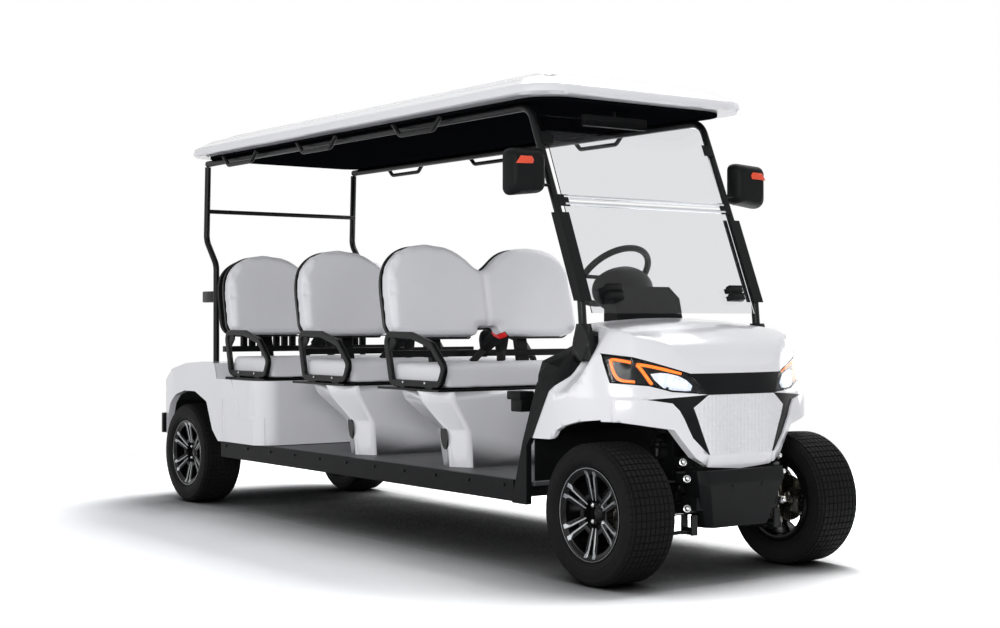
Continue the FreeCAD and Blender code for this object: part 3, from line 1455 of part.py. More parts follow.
def rear_pillars():
    """Rear posts that end on the third backrest's frame, joined by a crossbar."""
    y = s.rear_post_half_track
    top = s.roof_underside_height - s.roof_liner_thickness - s.pillar_radius * 2 - s.pin_clearance * 2
    x = ahead(s.rear_post_setback)
    foot_x = ahead(row_setback(2)) - s.cushion_depth - s.rear_back_setback - s.seat_tube * 2
    points = [
        Vector(x, y, top),
        Vector(x - s.pillar_radius, y, s.rear_post_knee_height),
        Vector(foot_x - s.mirror_width, y, s.rear_post_foot_height - s.pillar_radius * 2),
        Vector(foot_x - s.mirror_width, y, s.rear_fender_height - s.rear_body_wall),
    ]
    post = tube(points, [0, s.pillar_radius * 5, s.pillar_radius * 5, 0], s.pillar_radius)
    post = biggest(post.cut(rear_body_slab(0)))
    bar_end = Vector(x, y, s.rear_post_bar_height)
    bar = rod(s.pillar_radius * 0.7, bar_end - Vector(0, y * 2, 0), bar_end)
    node("rear_pillars", fused([post, mirrored(post), bar]))


# Middle lines of the roof's ribs, as shares of its half width.
ROOF_RIB_SHARES = (0.22, 0.64)


def roof_rib(y, front, back, crown):
    """A low rib along the roof with sloped flanks and long soft ends."""
    half = s.roof_rib_width / 2
    inset = s.roof_edge_height * 3
    sink = s.roof_rib_height / 2
    wires = []
    for height, draw in ((crown - sink, 0), (crown + sink, s.roof_rib_height),
                         (crown + s.roof_rib_height, s.roof_rib_height * 2)):
        run = inset + draw * 4
        across = half - draw
        points = [Vector(front - run, y + across, height), Vector(back + run, y + across, height),
                  Vector(back + run, y - across, height), Vector(front - run, y - across, height)]
        wires.append(wire(points, [across / 2] * 4))
    return Part.makeLoft(wires, True, True)


def roof():
    """The roof panel as a crowned tray over its liner."""
    front = ahead(s.roof_front_setback)
    back = ahead(s.roof_rear_setback)
    half = s.roof_width / 2
    low = s.roof_underside_height
    edge = s.roof_edge_height
    crown = s.roof_crown_height

    def level(height, inset, corner):
        points = [Vector(front - inset, half - inset, height), Vector(back + inset, half - inset, height),
                  Vector(back + inset, inset - half, height), Vector(front - inset, inset - half, height)]
        return wire(points, [corner] * 4)

    corner = half / 4
    rise = crown - low - edge
    steps = ((low, edge / 5), (low + edge / 4, 0), (low + edge * 0.85, edge / 8), (low + edge, edge * 0.4),
             (low + edge + rise * 0.6, edge * 1.5), (crown, edge * 3.2))
    panel = Part.makeLoft([level(height, inset, corner) for height, inset in steps], True, True)
    ribs = [roof_rib(side * share * half, front, back, crown)
            for share in ROOF_RIB_SHARES for side in (1, -1)]
    node("roof_panel", fused([panel] + ribs))
    liner = level(low - s.roof_liner_thickness, edge * 1.5, corner)
    liner = Part.Face(liner).extrude(Vector(0, 0, s.roof_liner_thickness))
    node("roof_liner", liner)


# Grab handle middles as setback shares of the roof's length from its front edge.
GRAB_SHARES = (0.304, 0.580, 0.832)


def grab_handles():
    """Three trapezoid handles a side under the liner."""
    shapes = []
    y = s.grab_half_track
    top = s.roof_underside_height - s.roof_liner_thickness
    length = s.roof_rear_setback - s.roof_front_setback
    for share in GRAB_SHARES:
        middle = ahead(s.roof_front_setback + share * length)
        half = s.grab_length / 2
        low = top - s.grab_drop
        points = [Vector(middle - half, y, top), Vector(middle - half * 0.7, y, low),
                  Vector(middle + half * 0.7, y, low), Vector(middle + half, y, top)]
        bar = tube(points, [0, s.grab_radius * 3, s.grab_radius * 3, 0], s.grab_radius)
        ceiling = block(s.grab_length * 2, s.grab_length, s.grab_radius * 4,
                        Vector(middle - s.grab_length, y - s.grab_length / 2, top))
        shapes.append(bar.cut(ceiling))
    node("grab_handles", both_sides(Part.makeCompound(shapes)))


def screen_x(height):
    """Where the screen's front face lies at a height, along the pillar's slope."""
    low = s.pillar_knee_height
    high = s.roof_underside_height
    start = s.pillar_foot_setback * 1.14
    end = s.pillar_top_setback * 1.04
    return ahead(start + (end - start) * (height - low) / (high - low))


def windscreen():
    """Two flat panes that meet at the hinge line, between the clamps on the pillars."""
    half = s.screen_width / 2
    panes = []
    joint = s.screen_thickness / 2
    head = s.screen_head_height - s.pillar_radius * 2
    for low, high in ((s.screen_foot_height, s.screen_hinge_height - joint),
                      (s.screen_hinge_height + joint, head)):
        outline = [(screen_x(low), low), (screen_x(low) + s.screen_thickness, low),
                   (screen_x(high) + s.screen_thickness, high), (screen_x(high), high)]
        panes.append(side_slab(outline, -half, half))
    node("windscreen_panes", Part.makeCompound(panes))
    low = s.screen_foot_height + s.clamp_width
    high = low + s.clamp_height
    inner = half + s.pin_clearance
    outline = [(screen_x(low) - s.clamp_width / 2, low), (screen_x(low) + s.clamp_width / 2, low),
               (screen_x(high) + s.clamp_width / 2, high), (screen_x(high) - s.clamp_width / 2, high)]
    sleeve = side_slab(outline, inner, s.pillar_half_track + s.pillar_radius + s.screen_thickness)
    pillar = document.getObject("front_pillars").Shape
    sleeve = biggest(sleeve.cut(pillar))
    clips = [sleeve]
    clip_middle = (s.screen_hinge_height + s.screen_head_height * 2) / 3
    for middle in (s.screen_hinge_height, clip_middle):
        low, high = middle - s.clamp_width / 2, middle + s.clamp_width / 2
        gap = s.screen_thickness + s.seat_gap
        outline = [(screen_x(low) + gap, low), (screen_x(low) + gap * 2, low),
                   (screen_x(high) + gap * 2, high), (screen_x(high) + gap, high)]
        clips.append(side_slab(outline, half - s.clamp_width / 2, s.pillar_half_track).cut(pillar))
    node("windscreen_clamps", both_sides(Part.makeCompound([biggest(clip) for clip in clips])))


# Corners of a door mirror, as shares of its half width and half height from its middle.
MIRROR_SHARES = ((-1, -0.8), (1, -1), (1, 0.9), (-1, 1))


def mirror_section(x, inset):
    """The left mirror's rounded outline at one depth, drawn in by an inset."""
    half_width = s.mirror_width / 2 - inset
    half_tall = s.mirror_tall / 2 - inset
    points = [Vector(x, s.mirror_half_track + y * half_width, s.mirror_height + z * half_tall)
              for y, z in MIRROR_SHARES]
    return wire(points, [s.mirror_depth * 0.4] * len(points))


def mirrors():
    """Door mirrors on short arms, and the wide mirror under the roof."""
    y = s.mirror_half_track
    x = ahead(s.mirror_setback)
    half_tall = s.mirror_tall / 2
    housing = Part.makeLoft([mirror_section(x - s.mirror_depth / 2, 0), mirror_section(x, 0),
                             mirror_section(x + s.mirror_depth * 0.35, s.mirror_depth / 7),
                             mirror_section(x + s.mirror_depth / 2, s.mirror_depth * 0.4)], True, False)
    pillar_x = screen_x(s.mirror_height - half_tall / 2)
    arm = rod(s.screen_thickness, Vector(x, y, s.mirror_height - half_tall / 2),
              Vector(pillar_x, s.pillar_half_track, s.mirror_height - half_tall / 2))
    arm = arm.cut(document.getObject("front_pillars").Shape)
    node("side_mirrors", both_sides(biggest(fused([housing, arm]))))
    top = s.roof_underside_height - s.roof_liner_thickness
    inner_x = ahead(s.pillar_top_setback * 1.12)
    wide = s.inner_mirror_width
    glass = block(s.inner_mirror_tall / 2, wide, s.inner_mirror_tall,
                  Vector(inner_x, -wide / 2, top - s.inner_mirror_tall * 1.5))
    stem = rod(s.screen_thickness, Vector(inner_x + s.inner_mirror_tall / 4, 0, top - s.inner_mirror_tall),
               Vector(inner_x + s.inner_mirror_tall / 4, 0, top))
    node("interior_mirror", fused([glass, stem]))


def side_trims():
    """Black strips that close the cowl's rear edge down to the sills."""
    y = s.fender_width / 2
    strip = s.trim_strip_width
    back = s.cowl_rear_setback
    reach = s.arch_reach
    sill_low = s.deck_height - s.sill_height
    outline = door_edge() + [
        (ahead(reach), sill_low), (ahead(reach + strip * 1.6), sill_low),
        (ahead(reach + strip * 0.4), s.cowl_height * 0.52),
        (ahead(back * 1.17 + strip * 0.7), s.cowl_height * 0.8), (ahead(back + strip), s.cowl_height * 0.96)]
    slab = side_slab(outline, y - s.sill_thickness, y)
    upper = slab.common(front_hull(0))
    lower = slab.common(block(s.wheelbase, s.body_width, s.cowl_height * 0.4, Vector(REAR_AXLE, 0, 0)))
    sills = document.getObject("sill_covers").Shape
    cowl = document.getObject("front_cowl").Shape
    left = biggest(fused([upper, lower]).cut(sills).cut(cowl))
    node("cowl_side_trims", both_sides(left))


def instrument_pod(wall_x, shelf_top):
    """The raised box behind the screen, with cut-off upper corners."""
    top = shelf_top + s.pod_rise
    front = min(ahead(s.cowl_rear_setback + s.trim_strip_width), screen_x(top) - s.screen_thickness * 2)
    rear = wall_x + s.trim_strip_width * 0.3
    half = s.pod_width / 2
    corner = s.pod_rise / 4
    outline = [(-half, shelf_top), (-half, top - corner), (corner - half, top), (half - corner, top),
               (half, top - corner), (half, shelf_top)]
    box = front_slab(outline, rear, front)
    slope = side_slab([(front + s.overrun, shelf_top), (front, shelf_top), (front - corner, top),
                       (front - corner, top + s.overrun), (front + s.overrun, top + s.overrun)],
                      -s.pod_width, s.pod_width)
    pod = box.cut(slope)
    pod.translate(Vector(0, s.pod_offset, 0))
    return pod


def dashboard():
    """Firewall, dash shelf and the raised instrument pod behind the screen."""
    half = s.fender_width / 2 - s.sill_thickness - s.cowl_wall
    wall_x = ahead(s.arch_reach + s.trim_strip_width * 0.2)
    shelf_top = s.cowl_height - s.dash_drop
    shelf_low = s.arch_height + s.trim_strip_width * 1.6
    knee = s.arch_height - s.trim_strip_width
    front = ahead(s.cowl_rear_setback + s.pin_clearance)
    outline = [(front, shelf_top), (front, shelf_low), (wall_x, knee), (wall_x, s.deck_height),
               (wall_x - s.deck_thickness, s.deck_height), (wall_x - s.deck_thickness, knee),
               (wall_x - s.trim_strip_width * 1.5, shelf_low), (wall_x - s.trim_strip_width, shelf_top)]
    shelf = side_slab(outline, -half * s.dash_width_share, half * s.dash_width_share)
    pod = instrument_pod(wall_x, shelf_top)
    whole = fused([shelf, pod]).cut(document.getObject("front_cowl").Shape)
    node("dashboard", biggest(whole))


def wheel_axis():
    """The steering wheel's middle and its axis, which points at the driver."""
    centre = Vector(ahead(s.wheel_setback), s.wheel_half_track, s.wheel_height)
    tilt = math.radians(s.wheel_tilt_angle)
    return centre, Vector(-math.sin(tilt), 0, math.cos(tilt))


def steering():
    """The steering wheel, and the fixed column that carries it."""
    centre, axis = wheel_axis()
    radius = s.wheel_rim_radius
    rim_ring = Part.makeTorus(radius - s.wheel_rim_tube, s.wheel_rim_tube, centre, axis)
    boss = rod(radius * 0.28, centre - axis * s.wheel_rim_tube * 2, centre)
    across = Vector(0, 1, 0)
    down = axis.cross(across)
    spokes = []
    for direction in (across, across * -1, down):
        root = centre - axis * s.wheel_rim_tube
        tip = centre + direction * (radius - s.wheel_rim_tube) - axis * s.wheel_rim_tube * 0.3
        spokes.append(rod(s.wheel_rim_tube * 0.6, root, tip))
    tip = s.spindle_radius / 2
    boss_end = centre - axis * s.wheel_rim_tube * 2
    bore = rod(tip + s.pin_clearance, boss_end, boss_end + axis * s.wheel_rim_tube)
    node("steering_wheel", fused([rim_ring, boss] + spokes).cut(bore))
    start = centre - axis * (s.wheel_rim_tube * 2 + s.running_gap)
    length = s.wheel_rim_radius * 2.9
    cover = rod(s.wheel_rim_radius * 0.25, start - axis * length * 0.45, start)
    shaft = rod(s.pillar_radius, start - axis * length, start)
    stub = rod(tip, start - axis * s.pillar_radius, boss_end + axis * (s.wheel_rim_tube - s.pin_clearance))
    dash = document.getObject("dashboard").Shape
    column = fused([cover, shaft, stub]).cut(dash)
    node("steering_column", biggest(column))


def pedals():
    """Two pedals on arms from the firewall."""
    wall_x = ahead(s.arch_reach + s.trim_strip_width * 0.2) - s.deck_thickness
    shapes = []
    for share in (0.75, 1.25):
        y = s.wheel_half_track * share
        pad = s.seat_tube
        height = s.deck_height + s.mirror_width
        arm = block(s.mirror_depth, pad / 3, pad / 3, Vector(wall_x - s.mirror_depth, y - pad / 6, height))
        plate = block(pad / 3, pad * 2, pad * 2.4,
                      Vector(wall_x - s.mirror_depth - pad / 3, y - pad, height - pad))
        shapes.append(fused([arm, plate]))
    node("pedals", Part.makeCompound(shapes))


def seat_belts():
    """Belt buckles on short stalks between the places of each bench."""
    shapes = []
    for row in range(3):
        extra = s.rear_back_setback if row == 2 else 0
        back = ahead(row_setback(row)) - s.cushion_depth - extra
        for y in (-s.seat_tube, s.seat_tube * 0.4):
            buckle = block(s.seat_tube * 1.6, s.seat_tube * 0.6, s.seat_tube * 1.2,
                           Vector(back - s.seat_tube * 1.2, y, s.seat_height + s.seat_tube * 1.7))
            shapes.append(buckle)
    node("seat_belts", Part.makeCompound(shapes))


def bag_bar():
    """A padded bar behind the third backrest, held off its frame by two stays."""
    rear = ahead(row_setback(2)) - s.cushion_depth - s.rear_back_setback - s.mirror_width - s.seat_tube * 2
    y = s.rear_post_half_track - s.pillar_radius
    depth = s.seat_tube * 1.5
    bar = block(depth, 2 * y, s.mirror_depth,
                Vector(rear - depth + s.pillar_radius, -y, s.bag_bar_height - s.mirror_depth / 2))
    posts = document.getObject("rear_pillars").Shape
    node("bag_bar", biggest(bar.cut(posts)))


def build():
    for place, axle in (("front", FRONT_AXLE), ("rear", REAR_AXLE)):
        for side_name, side in (("left", 1), ("right", -1)):
            tyre(f"tyre_{place}_{side_name}", axle, side)
            rim(f"rim_{place}_{side_name}", axle, side)
            hub(f"hub_{place}_{side_name}", axle, side)
    knuckle("knuckle_left", 1)
    knuckle("knuckle_right", -1)
    tie_rod()
    frame_rails()
    frame_crossmembers()
    suspension_brackets()
    floor_deck()
    sill_covers()
    document.recompute()
    front_suspension()
    rear_springs()
    drive_axle()
    battery_pack()
    front_body()
    front_bumper()
    arch_liners()
    rear_body()
    tail_lamps()
    rear_bumper()
    pedestals()
    seat_cushions()
    backrests()
    seat_frames()
    armrests()
    front_pillars()
    rear_pillars()
    bag_bar()
    roof()
    grab_handles()
    windscreen()
    mirrors()
    side_trims()
    dashboard()
    steering()
    pedals()
    seat_belts()


def export():
    """Check every object, then write one STEP file for each sub-part."""
    document.recompute()
    for item in document.Objects:
        if "Invalid" in item.State or "Error" in item.State:
            raise RuntimeError(f"{item.Name} didn't compute")
    for item in NODES:
        if item.Shape.isNull() or not item.Shape.isValid():
            raise RuntimeError(f"{item.Label} has no valid shape")
    os.makedirs("parts", exist_ok=True)
    for item in NODES:
        item.Shape.exportStep(os.path.join("parts", item.Label + ".step"))
        print(item.Label, len(item.Shape.Solids), round(item.Shape.Volume / 1000), "cm3")


build()
export()
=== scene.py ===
# %% [markdown]
# # A long golf cart in a white studio
#
# This notebook dresses the engineering model of a cart with three benches. The model gives every
# place and size. Here each visible surface gets its real form and finish: gloss white moulded
# panels, black powder coated tube, padded vinyl, lathe turned rims and turf tyres.

# %% Load the frame
import json
import math

import bmesh
import bpy
from mathutils import Matrix, Vector
from mathutils.bvhtree import BVHTree

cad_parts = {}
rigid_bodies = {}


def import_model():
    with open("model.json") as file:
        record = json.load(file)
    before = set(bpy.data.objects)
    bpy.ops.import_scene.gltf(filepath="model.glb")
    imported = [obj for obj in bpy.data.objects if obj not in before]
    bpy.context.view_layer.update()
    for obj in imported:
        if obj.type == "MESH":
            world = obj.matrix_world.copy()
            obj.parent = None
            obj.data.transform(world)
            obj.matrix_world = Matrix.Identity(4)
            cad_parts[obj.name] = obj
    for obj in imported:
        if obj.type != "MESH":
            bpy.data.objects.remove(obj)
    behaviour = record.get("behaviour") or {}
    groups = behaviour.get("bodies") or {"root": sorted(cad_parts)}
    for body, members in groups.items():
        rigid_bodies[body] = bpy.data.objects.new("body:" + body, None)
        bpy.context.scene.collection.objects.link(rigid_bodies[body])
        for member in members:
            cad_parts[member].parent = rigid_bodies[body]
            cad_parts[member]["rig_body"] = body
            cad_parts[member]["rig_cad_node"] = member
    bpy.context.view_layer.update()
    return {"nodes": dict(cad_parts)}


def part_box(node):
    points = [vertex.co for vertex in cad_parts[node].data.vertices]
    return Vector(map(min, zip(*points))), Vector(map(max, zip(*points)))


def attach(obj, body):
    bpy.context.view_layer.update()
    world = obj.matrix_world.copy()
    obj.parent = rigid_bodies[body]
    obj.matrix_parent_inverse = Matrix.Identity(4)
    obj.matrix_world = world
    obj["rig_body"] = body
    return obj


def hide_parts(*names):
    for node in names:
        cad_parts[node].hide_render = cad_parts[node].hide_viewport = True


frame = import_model()
nodes = frame["nodes"]
MM = 0.001

# %% [markdown]
# ## Working habits
#
# Operators act on whatever is selected, so every step starts with nothing selected and picks its
# one piece. A finished piece has its place in its mesh, with its object at the origin, because a
# pattern on Object coordinates would otherwise slide.


# %% Pick, name and settle a piece
def settle():
    """Leaves edit mode and selects nothing."""
    if bpy.context.object and bpy.context.object.mode != "OBJECT":
        bpy.ops.object.mode_set(mode="OBJECT")
    bpy.ops.object.select_all(action="DESELECT")


def pick(piece):
    settle()
    piece.select_set(True)
    bpy.context.view_layer.objects.active = piece


def edit(piece, mode="FACE", chosen="DESELECT"):
    """Opens one piece for editing, with nothing selected in it, or everything."""
    pick(piece)
    bpy.ops.object.mode_set(mode="EDIT")
    bpy.ops.mesh.select_mode(type=mode)
    bpy.ops.mesh.select_all(action=chosen)


def named(name):
    """Names the object that an operator has just made."""
    piece = bpy.context.object
    piece.name = name
    piece.data.name = name
    return piece


print("picking ready")


# %% Choose, shape and finish
FACING = 0.9


def choose_faces(piece, test):
    """Selects the faces whose middle and normal pass a test."""
    mesh = bmesh.from_edit_mesh(piece.data)
    for face in mesh.faces:
        face.select_set(bool(test(face.calc_center_median(), face.normal)))
    bmesh.update_edit_mesh(piece.data)


def choose_edges(piece, test):
    """Selects the edges whose two ends pass a test."""
    mesh = bmesh.from_edit_mesh(piece.data)
    for edge in mesh.edges:
        edge.select_set(bool(test(edge.verts[0].co, edge.verts[1].co)))
    bmesh.update_edit_mesh(piece.data)


def modify(piece, kind, **settings):
    """Adds a modifier with its settings and applies it."""
    pick(piece)
    modifier = piece.modifiers.new(kind.title(), kind)
    for setting, value in settings.items():
        setattr(modifier, setting, value)
    bpy.ops.object.modifier_apply(modifier=modifier.name)


def soften(piece, width, angle, segments=2):
    """Rounds the edges that are sharper than an angle in degrees."""
    modify(piece, "BEVEL", width=width, segments=segments, limit_method="ANGLE",
           angle_limit=math.radians(angle))


def shape(piece, move):
    """Moves each vertex to where a function of its place puts it."""
    for vertex in piece.data.vertices:
        vertex.co = move(vertex.co)


def joined(name, pieces):
    """Makes one piece of several."""
    settle()
    for piece in pieces:
        piece.select_set(True)
    bpy.context.view_layer.objects.active = pieces[0]
    bpy.ops.object.join()
    return named(name)


def copied(piece, name, matrix):
    """A copy with its own mesh, placed by a matrix."""
    twin = piece.copy()
    twin.data = piece.data.copy()
    twin.name = name
    twin.data.name = name
    bpy.context.scene.collection.objects.link(twin)
    twin.data.transform(matrix)
    if matrix.determinant() < 0:
        twin.data.flip_normals()
    return twin


def apply_place(piece):
    pick(piece)
    bpy.ops.object.transform_apply(location=True, rotation=True, scale=True)


def finished(piece, body, finish, stands_for=(), smooth_angle=32):
    """Places, shades, colours and registers a piece."""
    apply_place(piece)
    bpy.ops.object.shade_smooth_by_angle(angle=math.radians(smooth_angle))
    piece.data.materials.clear()
    piece.data.materials.append(finish)
    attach(piece, body)
    if stands_for:
        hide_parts(*stands_for)


print("habits ready")

# %% [markdown]
# Several parts start as a box, as a flat outline or as a copy of the model's own surface, so each
# of these has one function.


# %% Blocks, outlines, copies and cuts
def block(name, size, place=(0, 0, 0), bevel=0.0, segments=2):
    """A box of a size at a place, with rounded edges where a bevel is given."""
    bpy.ops.mesh.primitive_cube_add(size=1, location=place)
    piece = named(name)
    piece.scale = size
    apply_place(piece)
    if bevel:
        modify(piece, "BEVEL", width=bevel, segments=segments)
    return piece


def sheet(name, places, faces=None):
    """Flat faces on some points, or one face on them all."""
    mesh = bpy.data.meshes.new(name)
    mesh.from_pydata(places, [], faces or [list(range(len(places)))])
    piece = bpy.data.objects.new(name, mesh)
    bpy.context.scene.collection.objects.link(piece)
    return piece


def thicken(piece, shift):
    """Gives a sheet its thickness."""
    edit(piece, chosen="SELECT")
    bpy.ops.mesh.extrude_region_move(TRANSFORM_OT_translate={"value": shift})
    bpy.ops.mesh.select_all(action="SELECT")
    bpy.ops.mesh.normals_make_consistent(inside=False)
    settle()


def merged_copy(node, name):
    """A copy of a model part with its loose triangles joined."""
    source = nodes[node]
    piece = source.copy()
    piece.data = source.data.copy()
    piece.name = name
    piece.data.name = name
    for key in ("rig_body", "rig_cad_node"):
        if key in piece:
            del piece[key]
    piece.parent = None
    piece.matrix_world = Matrix.Identity(4)
    bpy.context.scene.collection.objects.link(piece)
    edit(piece, "VERT", chosen="SELECT")
    bpy.ops.mesh.remove_doubles(threshold=0.02 * MM)
    settle()
    return piece


def body_of(node):
    return nodes[node]["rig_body"]


def cut_away(piece, cuts):
    """Removes what lies in front of planes, each given by a point and the way it faces."""
    for point, normal in cuts:
        edit(piece, "VERT", chosen="SELECT")
        bpy.ops.mesh.bisect(plane_co=point, plane_no=normal, clear_outer=True, use_fill=False)
        settle()


def tree_of(piece):
    """A piece's faces, laid out so that rays find them."""
    return BVHTree.FromPolygons([vertex.co for vertex in piece.data.vertices],
                                [face.vertices for face in piece.data.polygons])


print("forms ready")

# %% [markdown]
# ## The camera
#
# The photograph was taken from a little under a metre up, off the front right corner, with a long
# lens. The four tyre outlines fix the camera: its place, its heading and its focal length.

# %% Camera at the photograph's view
CAMERA_PLACE = (6.308, -4.239, 0.962)
CAMERA_HEADING = 144.19
CAMERA_PITCH = 0.24
FOCAL_LENGTH = 58.0

bpy.ops.object.camera_add(
    location=CAMERA_PLACE,
    rotation=(math.radians(90 + CAMERA_PITCH), 0, math.radians(CAMERA_HEADING - 90)),
)
camera = bpy.context.object
camera.name = "photo_camera"
camera.data.lens = FOCAL_LENGTH
camera.data.sensor_width = 36
camera.data.clip_end = 60
bpy.context.scene.camera = camera
print("camera", CAMERA_PLACE, "lens", FOCAL_LENGTH)

# %% [markdown]
# ## Colours and nodes
#
# Paint charts and photo editors give sRGB values, but shaders work with linear light, so one
# function turns a hex value to linear. A second adds one shader node with its settings and links.


# %% Colour and node helpers
WAVE_TURNS = {"Y": 20, "DIAGONAL": 10}
NOISE = "ShaderNodeTexNoise"
PEBBLE = "ShaderNodeTexVoronoi"


def linear(hex_colour):
    """An sRGB hex value as a linear RGBA colour."""
    channels = []
    for start in (0, 2, 4):
        value = int(hex_colour[start:start + 2], 16) / 255
        channels.append(value / 12.92 if value <= 0.04045 else ((value + 0.055) / 1.055) ** 2.4)
    return (*channels, 1.0)


def add_node(material, kind, settings=None, links=None):
    """Adds one node, sets its properties, and fills its inputs with values or other nodes' outputs."""
    node = material.node_tree.nodes.new(kind)
    for setting, value in (settings or {}).items():
        setattr(node, setting, value)
    for socket, value in (links or {}).items():
        if isinstance(value, bpy.types.NodeSocket):
            material.node_tree.links.new(value, node.inputs[socket])
        else:
            node.inputs[socket].default_value = value
    return node


def new_finish(name, colour, roughness, **sockets):
    """A material with its Principled shader set, and the shader itself."""
    material = bpy.data.materials.new(name)
    material.use_nodes = True
    shader = material.node_tree.nodes["Principled BSDF"]
    shader.inputs["Base Color"].default_value = linear(colour)
    shader.inputs["Roughness"].default_value = roughness
    for socket, value in sockets.items():
        shader.inputs[socket.replace("_", " ")].default_value = value
    return material, shader


def grain(material, shader, width, height, low, high, kind=NOISE):
    """Gives a finish its texture: grains of a width in millimetres and of a real height in metres,
    and a roughness that drifts between two values."""
    place = add_node(material, "ShaderNodeTexCoord")
    inputs = {"Vector": place.outputs["Object"], "Scale": 1000 / width}
    if kind == NOISE:
        value = add_node(material, kind, None, {**inputs, "Detail": 3.0}).outputs["Fac"]
    else:
        value = add_node(material, kind, {"feature": "F1"}, inputs).outputs["Distance"]
    bump = add_node(material, "ShaderNodeBump", None, {"Height": value, "Distance": height})
    spread = add_node(material, "ShaderNodeMapRange", None,
                      {"Value": value, "From Min": 0.3, "From Max": 0.7, "To Min": low, "To Max": high})
    material.node_tree.links.new(bump.outputs["Normal"], shader.inputs["Normal"])
    material.node_tree.links.new(spread.outputs["Result"], shader.inputs["Roughness"])


def mottle(material, shader, darker, lighter, width):
    """Lets a colour drift slightly over a width in millimetres, as pigment and dust make it do."""
    place = add_node(material, "ShaderNodeTexCoord")
    noise = add_node(material, NOISE, None,
                     {"Vector": place.outputs["Object"], "Scale": 1000 / width, "Detail": 2.0})
    blend = add_node(material, "ShaderNodeMix", {"data_type": "RGBA"},
                     {"Factor": noise.outputs["Fac"], 6: linear(darker), 7: linear(lighter)})
    material.node_tree.links.new(blend.outputs[2], shader.inputs["Base Color"])


def band_scale(direction, pitch):
    """The scale that lays a wave texture's bands a pitch in millimetres apart, along one axis."""
    return 2 * math.pi * 1000 / (WAVE_TURNS[direction] * pitch)


def relief(material, shader, kind, settings, inputs, output, strength, depth):
    """Presses a regular pattern of a real depth into a finish."""
    place = add_node(material, "ShaderNodeTexCoord")
    pattern = add_node(material, kind, settings, {"Vector": place.outputs["Object"], **inputs})
    bump = add_node(material, "ShaderNodeBump", None,
                    {"Height": pattern.outputs[output], "Strength": strength, "Distance": depth})
    material.node_tree.links.new(bump.outputs["Normal"], shader.inputs["Normal"])


print("helpers ready")

# %% [markdown]
# ## Finishes
#
# Body panels of such carts are thermoformed ABS with a gloss acrylic cap: white, with soft wide
# reflections. Frames are steel tube under black powder coat, which shows a fine orange peel.
# Trim is injection moulded polypropylene with a spark eroded grain. Each pattern's scale comes
# from its real size, and those too fine for the picture are drawn a little coarser.

# %% Body panels and trim
FACET_WIDTH = 18.18

# Thermoformed ABS under a clear acrylic cap: wide soft highlights with a sharper one in them.
white_panel, shader = new_finish("Gloss white ABS panel", "EBEBEF", 0.2, Coat_Weight=0.5,
                                 Coat_Roughness=0.06)
mottle(white_panel, shader, "E9E9ED", "EFEFF2", 333.3)
grain(white_panel, shader, 6.25, 0.00003, 0.16, 0.24)

# Moulded ABS with small pressed facets, which break a reflection into a lattice.
pearl_panel, shader = new_finish("Satin white nose insert", "EDEDF0", 0.35)
relief(pearl_panel, shader, PEBBLE, {"feature": "F1", "distance": "MANHATTAN"},
       {"Scale": 1000 / FACET_WIDTH, "Randomness": 0.0}, "Distance", 0.6, 0.004)

# Injection moulded polypropylene with a spark eroded grain: matt, with hardly a highlight.
grained_plastic, shader = new_finish("Grained black polypropylene", "0D0E0F", 0.5, Specular_IOR_Level=0.1)
mottle(grained_plastic, shader, "0C0D0E", "131415", 111.1)
grain(grained_plastic, shader, 1.429, 0.00012, 0.42, 0.6)

# Polished acrylic: an even, deep black with a narrow highlight.
gloss_black, shader = new_finish("Gloss black acrylic trim", "0B0C0E", 0.2, Specular_IOR_Level=0.1)
mottle(gloss_black, shader, "0B0C0E", "131416", 166.7)

# Steel tube under baked powder: satin, with a fine orange peel.
powder_coat, shader = new_finish("Black powder coated steel", "0B0C0D", 0.32, Specular_IOR_Level=0.16)
mottle(powder_coat, shader, "0B0C0D", "131415", 200)
grain(powder_coat, shader, 2.381, 0.00008, 0.26, 0.4)

# Vacuum formed ABS sheet: dark and dull, so the roof looks empty from below.
liner_panel, shader = new_finish("Dark satin roof liner", "0D0E10", 0.45, Specular_IOR_Level=0.0)
mottle(liner_panel, shader, "0C0D0F", "101114", 400)
grain(liner_panel, shader, 11.11, 0.00006, 0.34, 0.46)
print("panel finishes", 6)

# %% Wheels, running gear and hardware
# Moulded rubber with carbon black: matt, a little dusty.
tyre_rubber, shader = new_finish("Carbon black tyre rubber", "171718", 0.62, Specular_IOR_Level=0.06)
mottle(tyre_rubber, shader, "141415", "1B1B1C", 71.43)
grain(tyre_rubber, shader, 3.846, 0.0002, 0.5, 0.75)

# Cast aluminium under black lacquer: smooth, and dark down in the windows.
rim_lacquer, shader = new_finish("Black lacquered rim", "08080A", 0.16, Specular_IOR_Level=0.12)
mottle(rim_lacquer, shader, "080809", "101011", 50)

# Aluminium cut bare with a diamond: fine tool marks spread the highlight.
machined_face, shader = new_finish("Diamond turned aluminium", "8E9092", 0.3, Metallic=1.0)
grain(machined_face, shader, 1.111, 0.00005, 0.22, 0.38)

# Zinc plated steel: a bright, slightly uneven metal.
bright_steel, shader = new_finish("Zinc plated steel", "C3C3C4", 0.24, Metallic=1.0)
grain(bright_steel, shader, 2, 0.00005, 0.18, 0.34)

# Sand cast iron under chassis paint: coarse and dull.
cast_iron, shader = new_finish("Painted cast iron", "141516", 0.55)
grain(cast_iron, shader, 4.545, 0.0004, 0.45, 0.65)

# Turned steel with a chromate finish: a warm grey metal.
brake_steel, shader = new_finish("Chromated brake parts", "8C8A84", 0.3, Metallic=1.0)
mottle(brake_steel, shader, "96938C", "6F6C64", 33.33)
grain(brake_steel, shader, 3.333, 0.0001, 0.18, 0.36)
print("wheel finishes", 6)

# %% Seats, floor, screen and lamps
MAT_RIB_PITCH = 19.635

